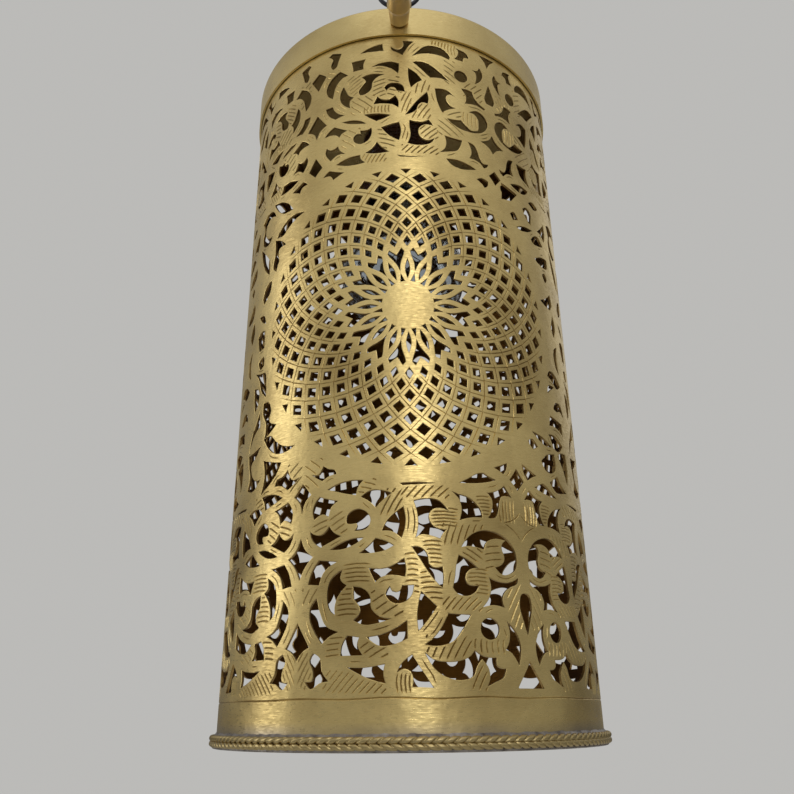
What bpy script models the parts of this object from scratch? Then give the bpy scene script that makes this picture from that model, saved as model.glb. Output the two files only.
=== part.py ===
"""Pierced brass cylinder lantern that hangs on a ring, with its cap, stem, thumb screws, lamp holder and bulb.

Metres, +Z up. The origin is the inside top of the hanging ring, where a ceiling hook carries the lantern.
"""

import math

import bmesh
import bpy
from mathutils import Matrix, Vector
from mathutils.geometry import delaunay_2d_cdt

# Driving dimensions, in metres.
GAP = 0.0003                 # running and fitting gap between pieces that touch
SHADE_RADIUS = 0.0735        # outside of the rolled sheet
SHEET = 0.0010               # shade wall
BODY_HEIGHT = 0.3060         # rim to top of cap
SKIRT_HEIGHT = 0.0165        # cap skirt, top to lower edge
CAP_SHEET = 0.0009           # cap wall
EYE_ABOVE_CAP = 0.0882       # cross hole of the stem ball above the cap
BALL_RADIUS = 0.00825
RING_RADIUS = 0.0123         # hanging ring, middle of the wire
RING_WIRE = 0.0012           # radius of its wire
STEM_RADIUS = 0.0065
STEM_BORE = 0.0050
NIPPLE_RADIUS = 0.0047
NIPPLE_BORE = 0.0035
ROPE_RADIUS = 0.0010         # each strand of the braided rim
MEDALLIONS = 3
SCREWS = 3
SCREW_BELOW_TOP = 0.0090     # axis of the thumb screws below the cap's top
SCREW_SHANK = 0.00185
SCREW_HOLE = 0.00215
BOSS_RADIUS = 0.0029
BOSS_LENGTH = 0.0034
KNOB_RADIUS = 0.0049
KNOB_LENGTH = 0.0188
BUSH_OFFSET = 0.0320         # cord bush behind the stem
BUSH_HOLE = 0.0050
BUSH_BORE = 0.0034
HOLDER_RADIUS = 0.0200
BULB_RADIUS = 0.0300
BEND_LINES = 24              # flats around the shade

# Places worked out from them.
RING_CENTRE_Z = -(RING_RADIUS - RING_WIRE)
EYE_Z = RING_CENTRE_Z - RING_RADIUS
CAP_TOP = EYE_Z - EYE_ABOVE_CAP
RIM_Z = CAP_TOP - BODY_HEIGHT
CAP_RADIUS = SHADE_RADIUS + GAP + CAP_SHEET
GIRTH = 2 * math.pi * SHADE_RADIUS
SHADE_TOP = BODY_HEIGHT - CAP_SHEET - GAP
PITCH = GIRTH / MEDALLIONS

BRASS = (0.60, 0.46, 0.20, 1.0)
DARK_BRASS = (0.42, 0.31, 0.14, 1.0)
SOLDER = (0.33, 0.31, 0.27, 1.0)
IRON = (0.05, 0.05, 0.055, 1.0)
BAKELITE = (0.16, 0.07, 0.03, 1.0)
CERAMIC = (0.80, 0.79, 0.75, 1.0)
NICKEL = (0.70, 0.69, 0.66, 1.0)
GLASS = (0.85, 0.88, 0.90, 1.0)
BLACK = (0.02, 0.02, 0.02, 1.0)


def clear_scene():
    for obj in list(bpy.data.objects):
        bpy.data.objects.remove(obj, do_unlink=True)


def finish(name, colour, metallic, roughness):
    material = bpy.data.materials.new(name)
    material.use_nodes = True
    shader = material.node_tree.nodes["Principled BSDF"]
    shader.inputs["Base Color"].default_value = colour
    shader.inputs["Metallic"].default_value = metallic
    shader.inputs["Roughness"].default_value = roughness
    return material


def new_object(name, bm, colour, metallic=1.0, roughness=0.35, smooth=True):
    mesh = bpy.data.meshes.new(name)
    bmesh.ops.recalc_face_normals(bm, faces=bm.faces)
    bm.to_mesh(mesh)
    bm.free()
    obj = bpy.data.objects.new(name, mesh)
    bpy.context.scene.collection.objects.link(obj)
    obj.data.materials.append(finish(name + "_finish", colour, metallic, roughness))
    if smooth:
        mesh.shade_smooth()
        mesh.set_sharp_from_angle(angle=math.radians(35))
    return obj


def turned_mesh(outline, segments):
    """A body turned about Z from a closed outline of (radius, height)."""
    bm = bmesh.new()
    corners = [bm.verts.new((radius, 0.0, height)) for radius, height in outline]
    for here, there in zip(corners, corners[1:] + corners[:1]):
        if here.co.x > 0 or there.co.x > 0:
            bm.edges.new((here, there))
    bmesh.ops.spin(bm, geom=bm.verts[:] + bm.edges[:], cent=(0, 0, 0), axis=(0, 0, 1),
                   angle=2 * math.pi, steps=segments, use_merge=True)
    bmesh.ops.remove_doubles(bm, verts=bm.verts, dist=1e-6)
    return bm


def turned(name, outline, segments, colour, metallic=1.0, roughness=0.35, place=None):
    """A turned sub-part; place is an (x, y, z) or a matrix put on the object."""
    obj = new_object(name, turned_mesh(outline, segments), colour, metallic, roughness)
    if isinstance(place, Matrix):
        obj.matrix_world = place
    elif place is not None:
        obj.location = place
    return obj


def above_rim(outline):
    """Heights given from the rim's underside, moved to the lantern's own frame."""
    return [(radius, RIM_Z + height) for radius, height in outline]


def cut(obj, cutter_bm, name, place):
    """Takes a hidden cutter's shape out of an object."""
    bmesh.ops.recalc_face_normals(cutter_bm, faces=cutter_bm.faces)
    mesh = bpy.data.meshes.new(name)
    cutter_bm.to_mesh(mesh)
    cutter_bm.free()
    cutter = bpy.data.objects.new(name, mesh)
    bpy.context.scene.collection.objects.link(cutter)
    cutter.matrix_world = place
    cutter.hide_render = True
    cutter.display_type = "WIRE"
    modifier = obj.modifiers.new(name, "BOOLEAN")
    modifier.operation = "DIFFERENCE"
    modifier.solver = "EXACT"
    modifier.object = cutter


def arc(centre, radius, start, end, steps):
    """Points (x, y) on an arc, angles in degrees."""
    turn = [math.radians(start + (end - start) * i / steps) for i in range(steps + 1)]
    return [(centre[0] + radius * math.cos(a), centre[1] + radius * math.sin(a)) for a in turn]


# The shade is drawn flat, (distance along the girth, height above the rim), then rolled up.

def lozenge(centre, radius, angle, reach, spread):
    """A four-cornered opening that points away from a medallion's centre."""
    corners = []
    for dr, da in ((reach, 0), (0, spread), (-reach, 0), (0, -spread)):
        a = angle + da
        corners.append((centre[0] + (radius + dr) * math.sin(a),
                        centre[1] + (radius + dr) * math.cos(a)))
    return corners


def medallion_openings(centre):
    """A solid boss with sixteen petals, then two rows of lattice openings."""
    openings = []
    step = 2 * math.pi / 16
    for i in range(16):
        openings.append(lozenge(centre, 0.0195, i * step, 0.0070, 0.085))
        openings.append(lozenge(centre, 0.0365, (i + 0.5) * step, 0.0075, 0.130))
        openings.append(lozenge(centre, 0.0530, i * step, 0.0080, 0.145))
    return openings


def leaf_opening(centre, length, width, tilt):
    """A pointed leaf-shaped opening between two scrolls."""
    half = [(-length / 2, 0), (-length / 6, width / 2), (length / 3, width / 2.6), (length / 2, 0),
            (length / 4, -width / 2.4), (-length / 4, -width / 2.2)]
    c, s = math.cos(tilt), math.sin(tilt)
    return [(centre[0] + x * c - y * s, centre[1] + x * s + y * c) for x, y in half]


def frieze_openings(centre):
    """The scroll openings above and below a medallion and in the corners beside it."""
    openings = []
    for side in (-1, 1):
        for low, high in ((0.034, 0.272), (0.065, 0.241)):
            for out, tilt in ((0.0185, 0.5), (0.0560, -0.4)):
                openings.append(leaf_opening((centre[0] + side * out, low), 0.020, 0.011, side * tilt))
                openings.append(leaf_opening((centre[0] + side * out, high), 0.020, 0.011, -side * tilt))
        for height in (0.098, 0.208):
            openings.append(leaf_opening((centre[0] + side * 0.0640, height), 0.014, 0.012, 0.0))
    return openings


def anticlockwise(corners):
    """The outline turned to run anticlockwise, as the triangulation reads an inside."""
    pairs = zip(corners, corners[1:] + corners[:1])
    area = sum(here[0] * there[1] - there[0] * here[1] for here, there in pairs)
    return corners if area > 0 else corners[::-1]


def flat_sheet(openings):
    """The developed sheet as triangles, with the openings left out and a crease at every bend line."""
    points, faces = [], []

    def add_face(corners):
        faces.append(list(range(len(points), len(points) + len(corners))))
        points.extend(Vector(corner) for corner in corners)

    left = -PITCH / 2
    width = GIRTH / BEND_LINES
    for i in range(BEND_LINES):
        near, far = left + i * width, left + (i + 1) * width
        add_face([(near, 0.0), (far, 0.0), (far, SHADE_TOP), (near, SHADE_TOP)])
    strips = len(faces)
    for corners in openings:
        add_face(anticlockwise(corners))
    verts, _, triangles, _, _, inside = delaunay_2d_cdt(points, [], faces, 0, 1e-7, True)
    kept = [tri for tri, owners in zip(triangles, inside)
            if owners and all(owner < strips for owner in owners)]
    return verts, kept


def add_wall(bm, share):
    """The sheet's inner face, each point that share of its own distance from the axis, and the cut edges."""
    inner = {vert: bm.verts.new((vert.co.x * share, vert.co.y * share, vert.co.z)) for vert in bm.verts[:]}
    cut_edges = [edge.verts[:] for edge in bm.edges if len(edge.link_faces) == 1]
    for face in bm.faces[:]:
        bm.faces.new([inner[vert] for vert in reversed(face.verts)])
    for here, there in cut_edges:
        bm.faces.new((here, there, inner[there], inner[here]))


def make_shade():
    openings = []
    for i in range(MEDALLIONS):
        centre = (i * PITCH, BODY_HEIGHT / 2)
        openings += medallion_openings(centre) + frieze_openings(centre)
    verts, triangles = flat_sheet(openings)
    bm = bmesh.new()
    rolled = []
    for along, height in verts:
        angle = along / SHADE_RADIUS
        x, y = SHADE_RADIUS * math.sin(angle), -SHADE_RADIUS * math.cos(angle)
        rolled.append(bm.verts.new((x, y, RIM_Z + height)))
    for tri in triangles:
        bm.faces.new([rolled[i] for i in tri])
    loose = [vert for vert in bm.verts if not vert.link_faces]
    bmesh.ops.delete(bm, geom=loose, context="VERTS")
    bmesh.ops.remove_doubles(bm, verts=bm.verts, dist=1e-6)
    add_wall(bm, (SHADE_RADIUS - SHEET) / SHADE_RADIUS)
    new_object("shade", bm, BRASS, roughness=0.32)


def make_rim():
    middle = SHADE_RADIUS + GAP + ROPE_RADIUS
    for name, height in (("rim_rope_lower", 0.0011), ("rim_rope_upper", 0.0034)):
        strand = arc((middle, height), ROPE_RADIUS, 0, 300, 5)
        turned(name, above_rim(strand), 40, BRASS, roughness=0.40)
    inner = SHADE_RADIUS + GAP
    fillet = [(inner, 0.0047), (inner + 0.0009, 0.0047), (inner, 0.0058)]
    turned("rim_solder", above_rim(fillet), 40, SOLDER, roughness=0.55)


def screw_frame(i):
    """Local +Z runs out along the screw's axis; its origin is on the skirt's outer face."""
    angle = 2 * math.pi * i / SCREWS - math.pi / 2
    out = Vector((math.cos(angle), math.sin(angle), 0.0))
    place = out * CAP_RADIUS + Vector((0, 0, CAP_TOP - SCREW_BELOW_TOP))
    turn = out.to_track_quat("Z", "Y").to_matrix().to_4x4()
    return Matrix.Translation(place) @ turn


def make_cap():
    corner = 0.0010
    inside = SHADE_RADIUS + GAP
    outline = [(STEM_BORE, BODY_HEIGHT)]
    outline += arc((CAP_RADIUS - corner, BODY_HEIGHT - corner), corner, 90, 0, 3)
    outline += [(CAP_RADIUS, BODY_HEIGHT - SKIRT_HEIGHT), (inside, BODY_HEIGHT - SKIRT_HEIGHT)]
    outline += [(inside, BODY_HEIGHT - CAP_SHEET), (STEM_BORE, BODY_HEIGHT - CAP_SHEET)]
    cap = turned("cap", above_rim(outline), 48, BRASS, roughness=0.30)
    for i in range(SCREWS):
        drill = turned_mesh([(0, -0.003), (SCREW_HOLE, -0.003), (SCREW_HOLE, 0.003), (0, 0.003)], 16)
        cut(cap, drill, f"screw_hole_{i + 1}", screw_frame(i))
    drill = turned_mesh([(0, -0.004), (BUSH_HOLE, -0.004), (BUSH_HOLE, 0.004), (0, 0.004)], 20)
    cut(cap, drill, "bush_hole", Matrix.Translation((0, BUSH_OFFSET, CAP_TOP)))


def make_thumb_screws():
    head = GAP * 2 + BOSS_LENGTH
    boss = [(SCREW_HOLE, GAP), (BOSS_RADIUS, GAP), (BOSS_RADIUS, GAP + BOSS_LENGTH),
            (SCREW_HOLE, GAP + BOSS_LENGTH)]
    taper = head + 0.0055
    end = head + KNOB_LENGTH
    screw = [(0, -0.0007), (SCREW_SHANK, -0.0007), (SCREW_SHANK, head), (BOSS_RADIUS, head),
             (KNOB_RADIUS - 0.0004, taper - 0.0003), (KNOB_RADIUS, taper), (KNOB_RADIUS, end - 0.0025),
             (KNOB_RADIUS * 0.8, end - 0.0007), (0, end)]
    for i in range(SCREWS):
        turned(f"screw_boss_{i + 1}", boss, 16, DARK_BRASS, roughness=0.40, place=screw_frame(i))
        turned(f"thumb_screw_{i + 1}", screw, 20, BRASS, roughness=0.25, place=screw_frame(i))


def make_stem():
    foot = BODY_HEIGHT + GAP
    collar = [(STEM_BORE, foot), (0.0140, foot), (0.0140, foot + 0.0015), (0.0115, foot + 0.0030),
              (0.0080, foot + 0.0042), (0.0075, foot + 0.0060), (STEM_BORE, foot + 0.0060)]
    turned("stem_collar", above_rim(collar), 24, BRASS)
    low = CAP_TOP + 2 * GAP + 0.0060
    high = EYE_Z - 0.0105
    tube = [(STEM_BORE, low), (STEM_RADIUS, low), (STEM_RADIUS, high), (STEM_BORE, high)]
    turned("stem_tube", tube, 24, BRASS, roughness=0.30)

    neck = 0.0070
    outline = [(0, -0.0102), (neck, -0.0102), (neck, -0.0078), (0.0055, -0.0066)]
    outline += arc((0, 0), BALL_RADIUS, -42, 90, 9)[:-1] + [(0, BALL_RADIUS)]
    ball = turned("stem_ball", outline, 24, BRASS, roughness=0.28, place=(0, 0, EYE_Z))
    reach = BALL_RADIUS + 0.001
    half = [reach * i / 5 for i in range(-5, 6)]
    waist = [(RING_WIRE + 2 * GAP + RING_RADIUS - math.sqrt(RING_RADIUS ** 2 - x ** 2), x) for x in half]
    cutter = turned_mesh([(0, -reach)] + waist + [(0, reach)], 16)
    sideways = Matrix.Translation((0, 0, EYE_Z)) @ Matrix.Rotation(math.pi / 2, 4, "Y")
    cut(ball, cutter, "ring_hole", sideways)

    nipple_low, nipple_high = 0.2965, BODY_HEIGHT + 0.0200
    nipple = [(NIPPLE_BORE, nipple_low), (NIPPLE_RADIUS, nipple_low), (NIPPLE_RADIUS, nipple_high),
              (NIPPLE_BORE, nipple_high)]
    turned("threaded_nipple", above_rim(nipple), 20, DARK_BRASS, roughness=0.45)
    under = BODY_HEIGHT - CAP_SHEET - GAP
    washer = [(STEM_BORE, under - 0.0008), (0.0090, under - 0.0008), (0.0090, under), (STEM_BORE, under)]
    turned("cap_washer", above_rim(washer), 24, NICKEL, roughness=0.40)
    top = under - 0.0008 - GAP
    nut = [(0, top - 0.0032), (0.0080, top - 0.0032), (0.0080, top), (0, top)]
    hexagon = turned("lock_nut", above_rim(nut), 6, DARK_BRASS, roughness=0.40)
    tap = turned_mesh([(0, -0.008), (STEM_BORE, -0.008), (STEM_BORE, 0.008), (0, 0.008)], 20)
    cut(hexagon, tap, "nut_bore", Matrix.Translation((0, 0, RIM_Z + top)))
    bush = [(BUSH_BORE, -0.0032), (0.0065, -0.0032), (0.0065, -CAP_SHEET - GAP), (0.0047, -CAP_SHEET - GAP),
            (0.0047, GAP), (0.0070, GAP), (0.0065, 0.0030), (BUSH_BORE, 0.0030)]
    turned("cord_bush", bush, 20, BLACK, 0.0, 0.5, place=(0, BUSH_OFFSET, CAP_TOP))


def make_hanging_ring():
    bm = turned_mesh(arc((RING_RADIUS, 0), RING_WIRE, 0, 315, 7), 32)
    obj = new_object("hanging_ring", bm, IRON, roughness=0.50)
    upright = Matrix.Rotation(math.pi / 2, 4, "X")
    obj.matrix_world = Matrix.Translation((0, 0, RING_CENTRE_Z)) @ upright


def make_lamp_holder():
    top = 0.2999
    cap = [(STEM_BORE, top), (0.0150, top - 0.0004), (0.0188, top - 0.0030), (HOLDER_RADIUS, top - 0.0060),
           (HOLDER_RADIUS, 0.2913), (0.0185, 0.2913), (0.0185, 0.2945), (0.0162, top - 0.0022),
           (STEM_BORE, top - 0.0015)]
    turned("holder_cap", above_rim(cap), 24, BAKELITE, 0.0, 0.35)

    low, high, ribs = 0.2560, 0.2910, 5
    rib = (high - low - 0.0030) / ribs
    body = [(0.0172, low), (HOLDER_RADIUS - 0.0010, low)]
    for i in range(ribs):
        start = low + 0.0015 + i * rib
        body += [(HOLDER_RADIUS - 0.0008, start + rib * 0.1), (HOLDER_RADIUS, start + rib * 0.5)]
    body += [(HOLDER_RADIUS - 0.0008, high - 0.0010), (HOLDER_RADIUS - 0.0008, high), (0.0172, high)]
    turned("holder_body", above_rim(body), 24, BAKELITE, 0.0, 0.40)

    sleeve = [(0.0142, 0.2620), (0.0148, 0.2620), (0.0148, 0.2882), (0.0142, 0.2882)]
    turned("holder_sleeve", above_rim(sleeve), 24, NICKEL, roughness=0.40)
    insert = [(0, 0.2885), (0.0160, 0.2885), (0.0160, 0.2940), (0, 0.2940)]
    turned("holder_insert", above_rim(insert), 24, CERAMIC, 0.0, 0.45)
    for i, side in enumerate((-1, 1)):
        screw = [(0, 0.2943), (0.0022, 0.2943), (0.0022, 0.2962), (0, 0.2962)]
        turned(f"terminal_screw_{i + 1}", above_rim(screw), 12, NICKEL, place=(side * 0.0100, 0, 0))
    bm = bmesh.new()
    bmesh.ops.create_cube(bm, size=1.0)
    bmesh.ops.scale(bm, vec=(0.0110, 0.0045, 0.0006), verts=bm.verts)
    tongue = new_object("centre_contact", bm, NICKEL, roughness=0.30, smooth=False)
    tongue.location = (0, 0, RIM_Z + 0.2879)


def make_bulb():
    neck, wall, middle = 0.0118, 0.0008, 0.2100
    dome = arc((0, middle), BULB_RADIUS, -90, 20, 8)
    outside = dome[1:] + [(0.0235, 0.2330), (0.0165, 0.2480), (0.0128, 0.2575), (neck, 0.2620), (neck, 0.2680)]
    inside = [(radius - wall, height) for radius, height in outside if radius > 2 * wall]
    bottom = middle - BULB_RADIUS
    glass = [(0, bottom)] + outside + inside[::-1] + [(0, bottom + wall)]
    turned("bulb_glass", above_rim(glass), 20, GLASS, 0.0, 0.05)
    shell = [(0.0132, 0.2630), (0.0132, 0.2800), (0.0110, 0.2830), (0.0083, 0.2830), (0.0083, 0.2822),
             (0.0106, 0.2822), (0.0122, 0.2796), (0.0122, 0.2630)]
    turned("bulb_cap", above_rim(shell[::-1]), 24, NICKEL, roughness=0.30)
    seat = [(0, 0.2833), (0.0105, 0.2833), (0.0060, 0.2858), (0, 0.2858)]
    turned("bulb_insulator", above_rim(seat), 20, BLACK, 0.0, 0.20)
    button = [(0, 0.2861), (0.0045, 0.2861), (0.0040, 0.2872), (0, 0.2872)]
    turned("bulb_contact", above_rim(button), 16, NICKEL)
    mount = [(0, 0.2280), (0.0022, 0.2290), (0.0026, 0.2440), (0.0060, 0.2600), (0.0090, 0.2665), (0, 0.2665)]
    turned("bulb_mount", above_rim(mount), 16, GLASS, 0.0, 0.10)
    make_filament()


def make_filament():
    """Two support wires with the filament hung between them in a zigzag, just under the glass mount."""
    half = [(0.0010, 0.2272), (0.0030, 0.2240), (0.0110, 0.2180), (0.0085, 0.2130), (0.0060, 0.2180),
            (0.0030, 0.2130)]
    route = [(-x, z) for x, z in half] + [(0.0, 0.2180)] + half[::-1]
    curve = bpy.data.curves.new("bulb_filament", "CURVE")
    curve.dimensions = "3D"
    curve.bevel_depth = 0.0004
    curve.bevel_resolution = 1
    curve.use_fill_caps = True
    spline = curve.splines.new("POLY")
    spline.points.add(len(route) - 1)
    for point, (x, z) in zip(spline.points, route):
        point.co = (x, 0.0, RIM_Z + z, 1.0)
    obj = bpy.data.objects.new("bulb_filament", curve)
    bpy.context.scene.collection.objects.link(obj)
    curve.materials.append(finish("filament_finish", NICKEL, 1.0, 0.4))


clear_scene()
make_hanging_ring()
make_stem()
make_cap()
make_thumb_screws()
make_shade()
make_rim()
make_lamp_holder()
make_bulb()
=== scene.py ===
"""Looks of the pierced brass hanging lantern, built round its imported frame.

Heights named h are measured up from the rim's underside. The shade is drawn flat, as the sheet lies
before it is rolled: u runs along the girth from the middle of the front, and both are in millimetres.
"""

import logging
import math
from collections.abc import Callable, Iterable, Sequence
from dataclasses import dataclass, field
from enum import Enum

import bmesh
import bpy
import numpy as np
from mathutils import Matrix, Vector
from mathutils.geometry import delaunay_2d_cdt


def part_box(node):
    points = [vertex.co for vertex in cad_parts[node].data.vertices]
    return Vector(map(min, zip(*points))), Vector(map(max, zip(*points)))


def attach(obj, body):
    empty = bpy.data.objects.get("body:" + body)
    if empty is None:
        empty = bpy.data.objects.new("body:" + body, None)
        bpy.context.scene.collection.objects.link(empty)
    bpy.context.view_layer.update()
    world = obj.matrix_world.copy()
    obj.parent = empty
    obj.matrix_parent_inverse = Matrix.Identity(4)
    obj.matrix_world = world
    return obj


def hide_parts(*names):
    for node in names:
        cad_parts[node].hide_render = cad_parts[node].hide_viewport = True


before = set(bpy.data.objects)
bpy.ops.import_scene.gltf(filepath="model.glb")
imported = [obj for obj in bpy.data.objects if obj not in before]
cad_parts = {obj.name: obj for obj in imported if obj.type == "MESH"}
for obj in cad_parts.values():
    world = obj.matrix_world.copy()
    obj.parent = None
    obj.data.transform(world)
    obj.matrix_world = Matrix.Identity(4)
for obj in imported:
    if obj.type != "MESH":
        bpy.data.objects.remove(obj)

LOG = logging.getLogger("lantern")
MM = 0.001
TINY = 2e-6
WELD = 1e-5

Colour = tuple[float, float, float]
Point = tuple[float, float]
Profile = list[Point]
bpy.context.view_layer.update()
RIM_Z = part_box("shade")[0].z
CAP_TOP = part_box("cap")[1].z
SHADE_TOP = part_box("shade")[1].z
SHADE_RADIUS = 0.0735
SHEET = 0.0010


# ---------------------------------------------------------------------------------------------
# The sheet's drawing: one repeat, an outline on each line as "u h" pairs. A star marks a sharp corner,
# and a line that starts with a space goes on with the one above it.

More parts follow.
